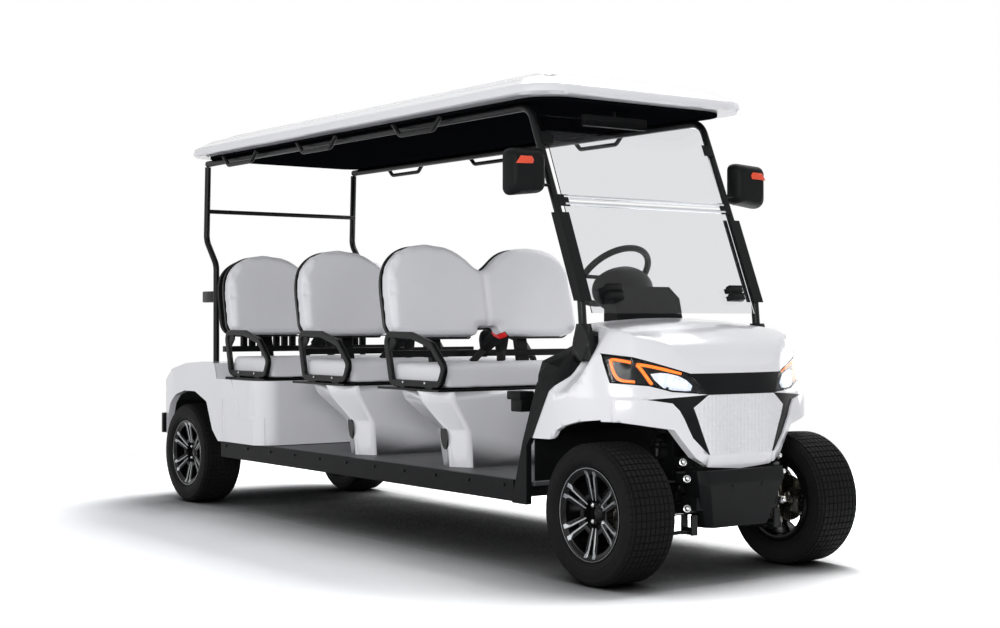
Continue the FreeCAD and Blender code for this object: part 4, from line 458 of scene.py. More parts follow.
# Calendered vinyl with an embossed pebble, under a factory topcoat: pale with a weak sheen.
seat_vinyl, shader = new_finish("Light grey marine vinyl", "EBEBEF", 0.42, Sheen_Weight=0.12,
                                Sheen_Roughness=0.5)
mottle(seat_vinyl, shader, "E8E8ED", "EFEFF3", 166.7)
grain(seat_vinyl, shader, 1.613, 0.00035, 0.36, 0.5, kind=PEBBLE)

# Thin smooth vinyl round a cord: a dark line along the seam.
piping_vinyl, shader = new_finish("Black welt piping", "121213", 0.4)
grain(piping_vinyl, shader, 1.667, 0.0002, 0.34, 0.48)

# Moulded rubber with ribs that run along the cart.
floor_mat, shader = new_finish("Ribbed grey floor mat", "505154", 0.55)
relief(floor_mat, shader, "ShaderNodeTexWave", {"wave_type": "BANDS", "bands_direction": "Y"},
       {"Scale": band_scale("Y", MAT_RIB_PITCH)}, "Fac", 0.6, 0.002)

# Extruded polycarbonate: clear and faintly grey. A low index keeps what lies behind it in place.
clear_sheet, shader = new_finish("Clear polycarbonate sheet", "DFE0E2", 0.02,
                                 Transmission_Weight=1.0, IOR=1.25)

# Moulded polycarbonate, thinner and clearer than the screen.
lens_sheet, shader = new_finish("Clear lamp lens", "F4F6F8", 0.02, Transmission_Weight=1.0, IOR=1.2)

# Metallised facets, which glow a little because the lamp is lit.
crystal_bowl, shader = new_finish("Faceted bright reflector", "E6EAF4", 0.16, Emission_Strength=0.28,
                                  Emission_Color=linear("DDE4F4"))
grain(crystal_bowl, shader, 4.545, 0.003, 0.08, 0.24, kind=PEBBLE)

# Light guides and diodes of moulded acrylic: the light comes evenly from their surface.
led_white, shader = new_finish("White lamp diode", "F4F7FF", 0.3, Emission_Strength=1.6,
                               Emission_Color=linear("F1F5FF"))
led_amber, shader = new_finish("Amber light guide", "FF7A1C", 0.35, Emission_Strength=0.9,
                               Emission_Color=linear("FF7420"))

# Moulded red acrylic with prisms inside, under a polished face.
red_lens, shader = new_finish("Red lamp lens", "A3100E", 0.12, Coat_Weight=0.8, Coat_Roughness=0.03)
grain(red_lens, shader, 4.167, 0.0003, 0.1, 0.18, kind=PEBBLE)

# Moulded ABS in signal colours: smooth with a soft highlight.
red_button, shader = new_finish("Red buckle button", "E02020", 0.4)
grain(red_button, shader, 2, 0.0001, 0.34, 0.46)
marker_orange, shader = new_finish("Orange mirror marker", "F2512D", 0.3)
grain(marker_orange, shader, 2.5, 0.0001, 0.24, 0.36)
print("seat and lamp finishes", 11)

# %% Small parts
WEAVE_PITCH = 3.927

# Woven polyester: matt, with a fine diagonal weave.
webbing, shader = new_finish("Woven black belt webbing", "161617", 0.7)
relief(webbing, shader, "ShaderNodeTexWave", {"wave_type": "BANDS", "bands_direction": "DIAGONAL"},
       {"Scale": band_scale("DIAGONAL", WEAVE_PITCH), "Distortion": 0.4}, "Fac", 0.7, 0.0006)

# Extruded aluminium, brushed along its length: a long bright streak.
hinge_aluminium, shader = new_finish("Brushed hinge aluminium", "C9CBCE", 0.28, Metallic=1.0)
grain(hinge_aluminium, shader, 1.25, 0.00003, 0.2, 0.36)

# Pressed steel with close round holes: black and rough.
speaker_cloth, shader = new_finish("Pressed steel speaker grille", "0B0B0C", 0.5)
grain(speaker_cloth, shader, 2.941, 0.0012, 0.4, 0.6, kind=PEBBLE)

# Silvered flat glass: it mirrors the white studio.
mirror_glass, shader = new_finish("Silvered mirror glass", "DADDE0", 0.02, Metallic=1.0)
grain(mirror_glass, shader, 83.33, 0.00001, 0.01, 0.03)

# Moulded ABS with shallow ribs: dull dark grey.
battery_case, shader = new_finish("Ribbed battery case", "1D1F22", 0.5)
grain(battery_case, shader, 16.67, 0.0008, 0.42, 0.6)
print("all finishes", len(bpy.data.materials))

# %% [markdown]
# ## The studio
#
# The cart stands before white. One large soft light hangs overhead on the left and lays the shadow
# on the near side. A second one, far off the front right corner, lights the near side, and low
# upright softboxes at the front and the sides light the panels and hardly the floor.
#
# A floor that is lit evenly shows no clear shadow, so the floor has two looks. Light falls on a
# pale grey sheet. What the eye sees is a brighter sheet with a painted contact shadow where the cart
# stands close; it is leaned a little to the left so that the overhead light shapes its shadow, and
# turns to plain white farther out. From below it is open, so that the underside can be looked at.
# The backdrop is white to the eye too, while it lights the cart only faintly.


# %% Who sees a surface
def seen_by_eye(owner):
    """The facts about a ray, and whether the eye sees by it: straight, mirrored or through a pane."""
    ray = add_node(owner, "ShaderNodeLightPath")
    direct = add_node(owner, "ShaderNodeMath", {"operation": "MAXIMUM"},
                      {0: ray.outputs["Is Camera Ray"], 1: ray.outputs["Is Glossy Ray"]})
    through = add_node(owner, "ShaderNodeMath", {"operation": "MAXIMUM"},
                       {0: direct.outputs[0], 1: ray.outputs["Is Transmission Ray"]})
    return ray, through.outputs[0]


print("eye test ready")

# %% Floor
FLOOR_SIZE = 80
FLOOR_SEEN = 3.2
SHADE_REACH = 0.85
SHADE_POWER = 2.1
LEANED_UP = {"X": 0.0, "Y": 0.37, "Z": 0.93}
WHITE_FROM = 2.3
WHITE_TO = 4.6

bpy.ops.mesh.primitive_plane_add(size=FLOOR_SIZE, location=(0, 0, 0))
studio_floor = named("studio_floor")
sweep = bpy.data.materials.new("White studio sweep")
sweep.use_nodes = True
sweep.node_tree.nodes.clear()
ray, seen_at_all = seen_by_eye(sweep)
lit_sheet = add_node(sweep, "ShaderNodeBsdfDiffuse", None, {"Color": linear("E4E4E6")})
# Ambient occlusion darkens the colour the eye sees near the cart: a painted contact shadow.
corner = add_node(sweep, "ShaderNodeAmbientOcclusion", {"samples": 8}, {"Distance": SHADE_REACH})
painted_contact_shade = add_node(sweep, "ShaderNodeMath", {"operation": "POWER"},
                   {0: corner.outputs["AO"], 1: SHADE_POWER})
shade = add_node(sweep, "ShaderNodeMath", {"operation": "MULTIPLY"},
                 {0: painted_contact_shade.outputs[0], 1: FLOOR_SEEN})
lean = add_node(sweep, "ShaderNodeCombineXYZ", None, LEANED_UP)
seen_sheet = add_node(sweep, "ShaderNodeBsdfDiffuse", None,
                      {"Color": shade.outputs[0], "Normal": lean.outputs[0]})
spot = add_node(sweep, "ShaderNodeTexCoord")
reach = add_node(sweep, "ShaderNodeVectorMath", {"operation": "LENGTH"}, {0: spot.outputs["Object"]})
far = add_node(sweep, "ShaderNodeMapRange", {"interpolation_type": "SMOOTHSTEP"},
               {"Value": reach.outputs["Value"], "From Min": WHITE_FROM, "From Max": WHITE_TO,
                "To Min": 0.0, "To Max": 1.0})
white = add_node(sweep, "ShaderNodeEmission", None, {"Color": (1, 1, 1, 1), "Strength": 1.0})
seen_floor = add_node(sweep, "ShaderNodeMixShader", None,
                      {0: far.outputs["Result"], 1: seen_sheet.outputs[0], 2: white.outputs[0]})
from_above = add_node(sweep, "ShaderNodeMixShader", None,
                      {0: seen_at_all, 1: lit_sheet.outputs[0], 2: seen_floor.outputs[0]})
side = add_node(sweep, "ShaderNodeNewGeometry")
below = add_node(sweep, "ShaderNodeMath", {"operation": "MULTIPLY"},
                 {0: side.outputs["Backfacing"], 1: ray.outputs["Is Camera Ray"]})
opened = add_node(sweep, "ShaderNodeBsdfTransparent")
shown = add_node(sweep, "ShaderNodeMixShader", None,
                 {0: below.outputs[0], 1: from_above.outputs[0], 2: opened.outputs[0]})
add_node(sweep, "ShaderNodeOutputMaterial", None, {"Surface": shown.outputs[0]})
studio_floor.data.materials.append(sweep)
print("floor nodes", len(sweep.node_tree.nodes))

# %% World and lights
AMBIENT_STRENGTH = 0.24

world = bpy.data.worlds.new("white_studio")
bpy.context.scene.world = world
world.use_nodes = True
world.node_tree.nodes.clear()
ray, seen_at_all = seen_by_eye(world)
backdrop = add_node(world, "ShaderNodeBackground", None, {"Color": (1, 1, 1, 1), "Strength": 1.0})
ambient = add_node(world, "ShaderNodeBackground", None,
                   {"Color": linear("F2F4F8"), "Strength": AMBIENT_STRENGTH})
mix = add_node(world, "ShaderNodeMixShader", None,
               {0: seen_at_all, 1: ambient.outputs[0], 2: backdrop.outputs[0]})
add_node(world, "ShaderNodeOutputWorld", None, {"Surface": mix.outputs[0]})

# Each lamp's name, place, turn in degrees, width and height, and power in watts.
LAMPS = (
    ("overhead_softbox", (-0.3, 2.0, 5.0), (-21, 0, 0), (5.5, 2.6), 195),
    ("key_softbox", (9.0, -9.0, 3.6), (78, 0, 45), (6.0, 3.0), 690),
    ("front_softbox", (8.0, 0.4, 1.35), (88, 0, 92), (3.4, 1.5), 35),
    ("right_softbox", (-1.2, -7.0, 1.6), (86, 0, 0), (6.5, 2.0), 90),
    ("left_softbox", (-0.5, 6.5, 1.6), (-86, 0, 0), (6.0, 1.8), 90),
)
for name, place_at, turn, size, power in LAMPS:
    bpy.ops.object.light_add(type="AREA", location=place_at, rotation=[math.radians(a) for a in turn])
    lamp = bpy.context.object
    lamp.name = name
    lamp.data.shape = "RECTANGLE"
    lamp.data.size, lamp.data.size_y = size
    lamp.data.energy = power
bpy.context.scene.view_settings.view_transform = "Standard"
print("lamps", len(LAMPS))

# %% [markdown]
# ## Turf tyres
#
# A tyre is a spun section. The tread is cut the way a mould does it: each cell of the crown is
# drawn in a little and raised, which leaves a groove round every block. Sixty pitches and eight
# columns give blocks about as large as a thumbnail, as in the photograph, and on the shoulders
# only the grooves across the tyre run on.

# %% One tyre, about its own axle
TYRE_RADIUS = 0.260
TREAD_HALF = 0.086
GROOVE_DEPTH = 0.0055
PITCHES = 60
TREAD_COLUMNS = 8
CROWN_DROP = 0.0022
CROWN_FLOOR = 0.245
SHOULDER_FLOOR = 0.2415
SHOULDER_FROM = 0.0875
TYRE_SECTION = (
    (0.1535, 0.0790), (0.1600, 0.0835), (0.1715, 0.0885), (0.1735, 0.0925), (0.1775, 0.0930),
    (0.1790, 0.0965), (0.1900, 0.1030), (0.1960, 0.1050), (0.1985, 0.1066), (0.2015, 0.1062),
    (0.2120, 0.1080), (0.2260, 0.1072), (0.2370, 0.1040), (0.2470, 0.0970), (0.2525, 0.0880),
)


def tread_radius(offset):
    """The base of the grooves, on a crown that is a little round."""
    return TYRE_RADIUS - GROOVE_DEPTH - CROWN_DROP * (offset / TREAD_HALF) ** 2


def spun(name, section, steps):
    """A section of (radius, offset) points turned about the Y axis, with its normals outwards."""
    mesh = bpy.data.meshes.new(name)
    mesh.from_pydata([(r, y, 0) for r, y in section], [(i, i + 1) for i in range(len(section) - 1)], [])
    piece = bpy.data.objects.new(name, mesh)
    bpy.context.scene.collection.objects.link(piece)
    edit(piece, "VERT", chosen="SELECT")
    bpy.ops.mesh.spin(steps=steps, angle=2 * math.pi, center=(0, 0, 0), axis=(0, 1, 0), use_auto_merge=True)
    bpy.ops.mesh.select_all(action="SELECT")
    bpy.ops.mesh.remove_doubles(threshold=0.00005)
    bpy.ops.mesh.normals_make_consistent(inside=False)
    settle()
    return piece


crown = [-TREAD_HALF + 2 * TREAD_HALF * i / TREAD_COLUMNS for i in range(TREAD_COLUMNS + 1)]
section = [(r, -y) for r, y in TYRE_SECTION]
section += [(tread_radius(y), y) for y in crown]
section += [(r, y) for r, y in reversed(TYRE_SECTION)]
tyre_master = spun("tyre_master", section + [section[0]], PITCHES)


def on_crown(middle, normal):
    return abs(middle.y) < TREAD_HALF and math.hypot(middle.x, middle.z) > CROWN_FLOOR


def on_shoulder(middle, normal):
    return SHOULDER_FROM < abs(middle.y) and math.hypot(middle.x, middle.z) > SHOULDER_FLOOR


edit(tyre_master)
choose_faces(tyre_master, on_shoulder)
bpy.ops.mesh.inset(thickness=0.0018, depth=0.0028, use_individual=True)
bpy.ops.mesh.select_all(action="DESELECT")
choose_faces(tyre_master, on_crown)
bpy.ops.mesh.inset(thickness=0.0015, depth=0.0, use_individual=True)
bpy.ops.mesh.inset(thickness=0.0009, depth=GROOVE_DEPTH, use_individual=True)
settle()
print("tyre faces", len(tyre_master.data.polygons))

# %% [markdown]
# ## Rims
#
# The model's rim has the right windows and spokes. What sells it is the finish: the whole rim is
# lacquered black, then a lathe takes a light cut over the front, so that a narrow face on each
# spoke and a line round the lip are bare metal while everything below the cut stays black. Each
# face is a slim blade that widens into a foot at the rim, laid on the spoke.

# %% Nut and cap, made once
bpy.ops.mesh.primitive_cylinder_add(vertices=6, radius=0.0098, depth=0.016, rotation=(math.pi / 2, 0, 0))
nut_master = named("nut_master")
apply_place(nut_master)
edit(nut_master)
choose_faces(nut_master, lambda middle, normal: normal.y > FACING)
bpy.ops.mesh.inset(thickness=0.0028, depth=0.0)
bpy.ops.mesh.extrude_region_move(TRANSFORM_OT_translate={"value": (0, 0.004, 0)})
bpy.ops.transform.resize(value=(0.6, 1, 0.6))
settle()
soften(nut_master, 0.0009, 25)

cap_master = spun("cap_master", [(0.0, 0.0560), (0.0120, 0.0556), (0.0215, 0.0540), (0.0262, 0.0512),
                                 (0.0272, 0.0480), (0.0, 0.0478)], 40)
print("nut faces", len(nut_master.data.polygons), "cap faces", len(cap_master.data.polygons))

# %% The turned faces
BLADE = ((0.0500, 0.0062), (0.1000, 0.0092), (0.1300, 0.0108), (0.1420, 0.0135), (0.1580, 0.0150),
         (0.1585, 0.0400), (0.1500, 0.0370), (0.1455, 0.0285), (0.1370, 0.0225), (0.1300, 0.0185),
         (0.1000, 0.0160), (0.0500, 0.0112))
BLADE_FACES = [(0, 1, 10, 11), (1, 2, 9, 10), (2, 3, 8, 9), (3, 7, 8), (3, 4, 6, 7), (4, 5, 6)]
BLADE_SUNK = 0.0005
BLADE_THICKNESS = 0.0022
SPOKE_FACE = ((0.0500, 0.0672), (0.0600, 0.0690), (0.1465, 0.0850), (0.1650, 0.0950))
SPOKES = 6
FIRST_SPOKE = 30
LIP = ((0.1678, 0.0944), (0.1684, 0.0956), (0.1700, 0.0956), (0.1706, 0.0944), (0.1678, 0.0944))


def spoke_face(radius):
    """How far out the front of a spoke lies at a radius."""
    for (inner, low), (outer, high) in zip(SPOKE_FACE, SPOKE_FACE[1:]):
        if radius <= outer:
            return low + (high - low) * (radius - inner) / (outer - inner)
    return SPOKE_FACE[-1][1]


blades = []
for hand in (1, -1):
    ring = [(radius, spoke_face(radius) - BLADE_SUNK, hand * across) for radius, across in BLADE]
    blade = sheet("turned_blade", ring, BLADE_FACES)
    thicken(blade, (0, BLADE_THICKNESS, 0))
    soften(blade, 0.0006, 40, segments=1)
    for index in range(SPOKES):
        turn = Matrix.Rotation(math.radians(FIRST_SPOKE + 360 / SPOKES * index), 4, "Y")
        blades.append(copied(blade, f"blade_{hand}_{index}", turn))
    bpy.data.objects.remove(blade)
lip_line = spun("lip_line", LIP, 96)
faces_master = joined("faces_master", blades + [lip_line])
print("turned faces", len(faces_master.data.polygons))

# %% Four wheels
NUT_RING = 0.0430
NUT_MIDDLE = 0.0460
NUTS = 4
FIRST_NUT = 45
WHEELS = [(end, side) for end in ("front", "rear") for side in ("left", "right")]


def wheel_matrix(end, side):
    """From a wheel made with its outer face towards +Y to its place on the cart."""
    low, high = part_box(f"tyre_{end}_{side}")
    turn = Matrix.Rotation(0 if side == "left" else math.pi, 4, "Z")
    return Matrix.Translation((Vector(low) + Vector(high)) / 2) @ turn


for end, side in WHEELS:
    place = wheel_matrix(end, side)
    body = body_of(f"tyre_{end}_{side}")
    tyre = copied(tyre_master, f"turf_tyre_{end}_{side}", place)
    finished(tyre, body, tyre_rubber, (f"tyre_{end}_{side}",), 40)
    rim = merged_copy(f"rim_{end}_{side}", f"turned_rim_{end}_{side}")
    soften(rim, 0.0011, 35)
    finished(rim, body, rim_lacquer, (f"rim_{end}_{side}",), 28)
    turned_faces = copied(faces_master, f"turned_faces_{end}_{side}", place)
    finished(turned_faces, body, machined_face, (), 30)
    nuts = []
    for index in range(NUTS):
        angle = math.radians(FIRST_NUT + 360 / NUTS * index)
        seat = Matrix.Translation((NUT_RING * math.cos(angle), NUT_MIDDLE, NUT_RING * math.sin(angle)))
        nuts.append(copied(nut_master, f"nut_{index}", place @ seat))
    finished(joined(f"wheel_nuts_{end}_{side}", nuts), body, bright_steel, (), 30)
    cap = copied(cap_master, f"wheel_cap_{end}_{side}", place)
    finished(cap, body, rim_lacquer, (), 30)
for master in (tyre_master, nut_master, cap_master, faces_master):
    bpy.data.objects.remove(master)
print("wheels", len(WHEELS))

# %% [markdown]
# ## Benches
#
# A bench cushion is foam in a vinyl cover that is pulled tight, so it has no wrinkles, only
# crowned faces and soft edges. A form a little smaller than the finished pad is meshed anew with
# even squares and blown up as cloth. A cap on how far a point may move stands in for the cover,
# and a floor keeps the side that lies on the tray or the shell flat. The seams come after that.

# %% One padded form, blown up as cloth
VOXEL = 0.012
CLOTH_FRAMES = 20
PRESSURE = 4.0


def extent(piece):
    """The lowest and highest corners of a piece."""
    places = [vertex.co for vertex in piece.data.vertices]
    low = Vector([min(place[axis] for place in places) for axis in range(3)])
    high = Vector([max(place[axis] for place in places) for axis in range(3)])
    return low, high


def even_mesh(piece):
    """Meshes a closed form anew with even squares."""
    pick(piece)
    piece.data.remesh_voxel_size = VOXEL
    bpy.ops.object.voxel_remesh()


def blown_up(piece, crown_side, cap, side_cap):
    """Fills a form as its foam does: it may rise on its crowned side and hardly elsewhere."""
    even_mesh(piece)
    start = [vertex.co.copy() for vertex in piece.data.vertices]
    pick(piece)
    cloth = piece.modifiers.new("Cloth", "CLOTH")
    cloth.settings.use_pressure = True
    cloth.settings.uniform_pressure_force = PRESSURE
    cloth.settings.effector_weights.gravity = 0
    cloth.settings.quality = 3
    cloth.point_cache.frame_start = 1
    cloth.point_cache.frame_end = CLOTH_FRAMES
    for step in range(1, CLOTH_FRAMES + 1):
        bpy.context.scene.frame_set(step)
    bpy.ops.object.modifier_apply(modifier=cloth.name)
    bpy.context.scene.frame_set(1)
    for vertex, origin in zip(piece.data.vertices, start):
        move = vertex.co - origin
        rise = move.dot(crown_side)
        sideways = move - crown_side * rise
        if sideways.length > side_cap:
            sideways *= side_cap / sideways.length
        vertex.co = origin + sideways + crown_side * min(max(rise, 0.0), cap)
    modify(piece, "SMOOTH", factor=0.5, iterations=2)
    modify(piece, "SUBSURF", levels=1, render_levels=1)


print("voxel", VOXEL * 1000, "mm")

# %% [markdown]
# The seat cushion is a box with wide corners in plan and a soft edge round its top. Its place comes
# from the model, and the three benches take copies of one cushion.

# %% Seat cushions
CUSHION_SIZE = (0.425, 1.020, 0.104)
CUSHION_ROOM = (0.008, 0.008, 0.010)
PITCH = 0.776
ROWS = ("front", "middle", "rear")
UPRIGHT = 0.05
REAR_CORNERS = 0.15
TOP_EDGES = 0.02
CUSHION_RISE = 0.008
SIDE_GIVE = 0.003
CROWN_HALF = 0.50
CROWN_RISE = 0.004
SEAM_WIDTH = 0.010
BASE_GAP = 0.0005
cushion_low, cushion_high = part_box("seat_cushions")
cushion_middle = Vector((cushion_high[0] - CUSHION_SIZE[0] / 2, 0, (cushion_low[2] + cushion_high[2]) / 2))
cushion_start = [side - room for side, room in zip(CUSHION_SIZE, CUSHION_ROOM)]
cushion = block("bench_cushion_front", cushion_start, cushion_middle)
edit(cushion, "EDGE")
choose_edges(cushion, lambda a, b: abs(a.z - b.z) > UPRIGHT and a.x > cushion_middle.x)
bpy.ops.mesh.bevel(offset=0.036, segments=8, affect="EDGES")
bpy.ops.mesh.select_all(action="DESELECT")
choose_edges(cushion, lambda a, b: abs(a.z - b.z) > UPRIGHT and a.x < cushion_middle.x - REAR_CORNERS)
bpy.ops.mesh.bevel(offset=0.03, segments=5, affect="EDGES")
bpy.ops.mesh.select_all(action="DESELECT")
choose_edges(cushion, lambda a, b: min(a.z, b.z) > cushion_middle.z + TOP_EDGES)
bpy.ops.mesh.bevel(offset=0.022, segments=5, affect="EDGES")
settle()
blown_up(cushion, Vector((0, 0, 1)), CUSHION_RISE, SIDE_GIVE)


def crowned(place):
    """Raises the middle of each of the two places, and sinks the sewn line between them."""
    if place.z > cushion_middle.z:
        across = min(1.0, abs(place.y) / CROWN_HALF)
        seam = math.exp(-(place.y / SEAM_WIDTH) ** 2)
        rise = CROWN_RISE * (math.cos(math.pi * (across - 0.5)) - seam)
        return Vector((place.x, place.y, min(place.z + rise, cushion_high[2])))
    return Vector((place.x, place.y, max(place.z, cushion_low[2] + BASE_GAP)))


shape(cushion, crowned)
for row, row_name in enumerate(ROWS):
    shift = Matrix.Translation((-PITCH * row, 0, 0))
    pad = cushion if row == 0 else copied(cushion, f"bench_cushion_{row_name}", shift)
    finished(pad, "chassis", seat_vinyl, ("seat_cushions",), 60)
low, high = extent(cushion)
print("cushion faces", len(cushion.data.polygons), [round(v, 3) for v in high - low])

# %% [markdown]
# The backrest starts from the model's two-humped pad. Its rear face lies on the plastic shell,
# and a black welt is sewn in where the cover meets that shell. The welt is read from the edge of
# that rear face.

# %% Back cushions
LEAN = math.radians(12)
BACK_RISE = 0.016
CHANNEL_DEPTH = 0.009
CHANNEL_WIDTH = 0.016
FRONT_DEPTH = 0.07
REARWARDS = Vector((-math.cos(LEAN), 0, -math.sin(LEAN)))


def loose_parts(node, name):
    """The separate solids of one model part, front to back."""
    piece = merged_copy(node, name)
    edit(piece, chosen="SELECT")
    bpy.ops.mesh.separate(type="LOOSE")
    settle()
    parts = [item for item in bpy.data.objects if item.name.startswith(name)]
    return sorted(parts, key=lambda item: -sum(vertex.co.x for vertex in item.data.vertices)
                  / len(item.data.vertices))


backs = loose_parts("backrests", "bench_back")
back_pad = backs[0]
for spare in backs[1:]:
    bpy.data.objects.remove(spare)
welt = copied(back_pad, "back_welt", Matrix.Identity(4))
edit(welt)
choose_faces(welt, lambda middle, normal: normal.dot(REARWARDS) > FACING)
bpy.ops.mesh.region_to_loop()
bpy.ops.mesh.duplicate()
bpy.ops.mesh.separate(type="SELECTED")
settle()
loop = [item for item in bpy.data.objects if item.name.startswith("back_welt.")][0]
bpy.data.objects.remove(welt)
pick(loop)
bpy.ops.object.convert(target="CURVE")
loop.data.bevel_depth = 0.0042
loop.data.bevel_resolution = 2
bpy.ops.object.convert(target="MESH")
back_welt = named("back_welt_front")
print("welt faces", len(back_welt.data.polygons))

# %% Blow up the back and sew its channel
modify(back_pad, "DISPLACE", strength=-0.002, mid_level=0.0)
back_low, back_high = extent(back_pad)
blown_up(back_pad, -REARWARDS, BACK_RISE, SIDE_GIVE)


def channelled(place):
    """The shallow sewn channel down the middle of the front face."""
    sink = CHANNEL_DEPTH * math.exp(-(place.y / CHANNEL_WIDTH) ** 2)
    lean_line = back_high[0] - (place.z - back_low[2]) * math.tan(LEAN)
    if place.x > lean_line - FRONT_DEPTH:
        return place + REARWARDS * sink
    return place


shape(back_pad, channelled)
for row, row_name in enumerate(ROWS):
    shift = Matrix.Translation((-PITCH * row, 0, 0))
    pad = back_pad if row == 0 else copied(back_pad, f"bench_back_{row_name}", shift)
    pad.name = pad.data.name = f"bench_back_{row_name}"
    finished(pad, "chassis", seat_vinyl, ("backrests",), 60)
    cord = back_welt if row == 0 else copied(back_welt, f"back_welt_{row_name}", shift)
    finished(cord, "chassis", piping_vinyl, (), 60)
low, high = extent(back_pad)
print("back faces", len(back_pad.data.polygons), [round(v, 3) for v in high - low])

# %% [markdown]
# ## Headlamps
#
# Behind the clear lens lies a black bowl. One amber light guide runs round the outer chamber, one
# leans between the chambers and one follows the upper edge. The inner chamber is a faceted bright
# reflector with white diodes. Each line is given by its width and height and is
# pushed back onto the bowl by a ray, so it follows the bowl's curve.

# %% Lens, bezel and bowl
LENS_THICKNESS = 0.002
BOWL_DEPTH = 0.008
BEZEL_WIDTH = 0.0065
OUTER_SLOPE = 0.22
SIDE_SHARE = 0.35


def outer_side(middle, normal):
    return normal.x > OUTER_SLOPE


lens = merged_copy("headlamps", "lamp_lenses")
bowl = copied(lens, "lamp_bowls", Matrix.Identity(4))
edit(lens)
choose_faces(lens, lambda middle, normal: not outer_side(middle, normal))
bpy.ops.mesh.delete(type="FACE")
settle()
bezel = copied(lens, "lamp_bezels", Matrix.Identity(4))
edit(bezel, chosen="SELECT")
bpy.ops.mesh.dissolve_limited(angle_limit=math.radians(8))
bpy.ops.mesh.inset(thickness=BEZEL_WIDTH, depth=0.0, use_boundary=True)
bpy.ops.mesh.delete(type="FACE")
settle()
modify(bezel, "SOLIDIFY", thickness=0.004, offset=-0.6)
finished(bezel, "chassis", gloss_black, (), 30)
modify(lens, "SOLIDIFY", thickness=LENS_THICKNESS, offset=-1.0)
finished(lens, "chassis", lens_sheet, ("headlamps",), 30)
shape(bowl, lambda place: place - Vector((BOWL_DEPTH, math.copysign(BOWL_DEPTH * SIDE_SHARE, place.y), 0)))
finished(bowl, "chassis", grained_plastic, (), 30)
print("lens faces", len(lens.data.polygons), "bezel faces", len(bezel.data.polygons))

# %% Light guides on the bowl
bowl_tree = tree_of(bowl)
RIGHT_GUIDES = (
    ((-418, 809), (-432, 813), (-453, 818), (-471, 822), (-472, 806), (-470, 781), (-465, 757),
     (-455, 745), (-437, 740), (-415, 739)),
    ((-364, 729), (-377, 758), (-391, 786), (-402, 802)),
    ((-402, 802), (-388, 801), (-366, 797), (-326, 787), (-284, 776), (-256, 769)),
)
GUIDE_RADIUS = (0.0056, 0.0064, 0.0060)
GUIDE_PROUD = 0.001
AHEAD = 3.0
LAMP_X = 1.88
TURN_SHARE = 0.4


def on_bowl(y, z, proud):
    """The point of the bowl at this width and height, a little in front of it."""
    hit = bowl_tree.ray_cast(Vector((AHEAD, y, z)), Vector((-1, 0, 0)))[0]
    if hit is None:
        hit = bowl_tree.find_nearest(Vector((LAMP_X, y, z)))[0]
    return hit + Vector((proud, math.copysign(proud * TURN_SHARE, y), 0))


def bent_rod(name, points, radius, resolution=3):
    """A round rod through some points, as a mesh."""
    curve = bpy.data.curves.new(name, "CURVE")
    curve.dimensions = "3D"
    curve.bevel_depth = radius
    curve.bevel_resolution = resolution
    curve.resolution_u = 6
    curve.use_fill_caps = True
    spline = curve.splines.new("NURBS")
    spline.points.add(len(points) - 1)
    for point, place in zip(spline.points, points):
        point.co = (*place, 1)
    spline.order_u = 3
    spline.use_endpoint_u = True
    rod = bpy.data.objects.new(name, curve)
    bpy.context.scene.collection.objects.link(rod)
    pick(rod)
    bpy.ops.object.convert(target="MESH")
    return named(name)


guides = []
for hand in (1, -1):
    for line, radius in zip(RIGHT_GUIDES, GUIDE_RADIUS):
        points = [on_bowl(y * hand * MM, z * MM, GUIDE_PROUD) for y, z in line]
        guides.append(bent_rod("lamp_guide", points, radius))
finished(joined("amber_light_guides", guides), "chassis", led_amber, (), 50)
print("guides", len(guides))

# %% The bright inner chamber
CHAMBER = ((-362, 768), (-330, 772), (-300, 769), (-268, 760), (-240, 744), (-222, 724),
           (-232, 706), (-280, 703), (-318, 707), (-338, 728), (-354, 748))
CHAMBER_PROUD = 0.0022
DIODES = ((-330, 745), (-303, 738), (-276, 733), (-250, 728))
DIODE_RADIUS = 0.0085
DIODE_PROUD = 0.0005
chambers = []
for hand in (1, -1):
    ring = [on_bowl(y * hand * MM, z * MM, CHAMBER_PROUD) for y, z in CHAMBER]
    chamber = sheet("bright_chamber", ring)
    edit(chamber, chosen="SELECT")
    bpy.ops.mesh.quads_convert_to_tris()
    bpy.ops.mesh.subdivide(number_cuts=3)
    settle()
    shape(chamber, lambda place: on_bowl(place.y, place.z, CHAMBER_PROUD))
    edit(chamber, chosen="SELECT")
    bpy.ops.mesh.normals_make_consistent(inside=False)
    bpy.ops.mesh.poke(offset=0.0022)
    settle()
    if sum(face.normal.x for face in chamber.data.polygons) < 0:
        chamber.data.flip_normals()
    chambers.append(chamber)
finished(joined("bright_chambers", chambers), "chassis", crystal_bowl, (), 5)

diodes = []
for hand in (1, -1):
    for y, z in DIODES:
        spot = on_bowl(y * hand * MM, z * MM, DIODE_PROUD)
        bpy.ops.mesh.primitive_uv_sphere_add(segments=16, ring_count=8, radius=DIODE_RADIUS, location=spot)
        diodes.append(named("diode"))
finished(joined("white_diodes", diodes), "chassis", led_white, (), 60)
print("chambers", len(chambers), "diodes", len(diodes))

# %% [markdown]
# ## Belt buckles
#
# Each bench has a pair of buckles in its middle: a black plastic body on a stalk of webbing that
# comes up between cushion and back, with a red release button in its end.

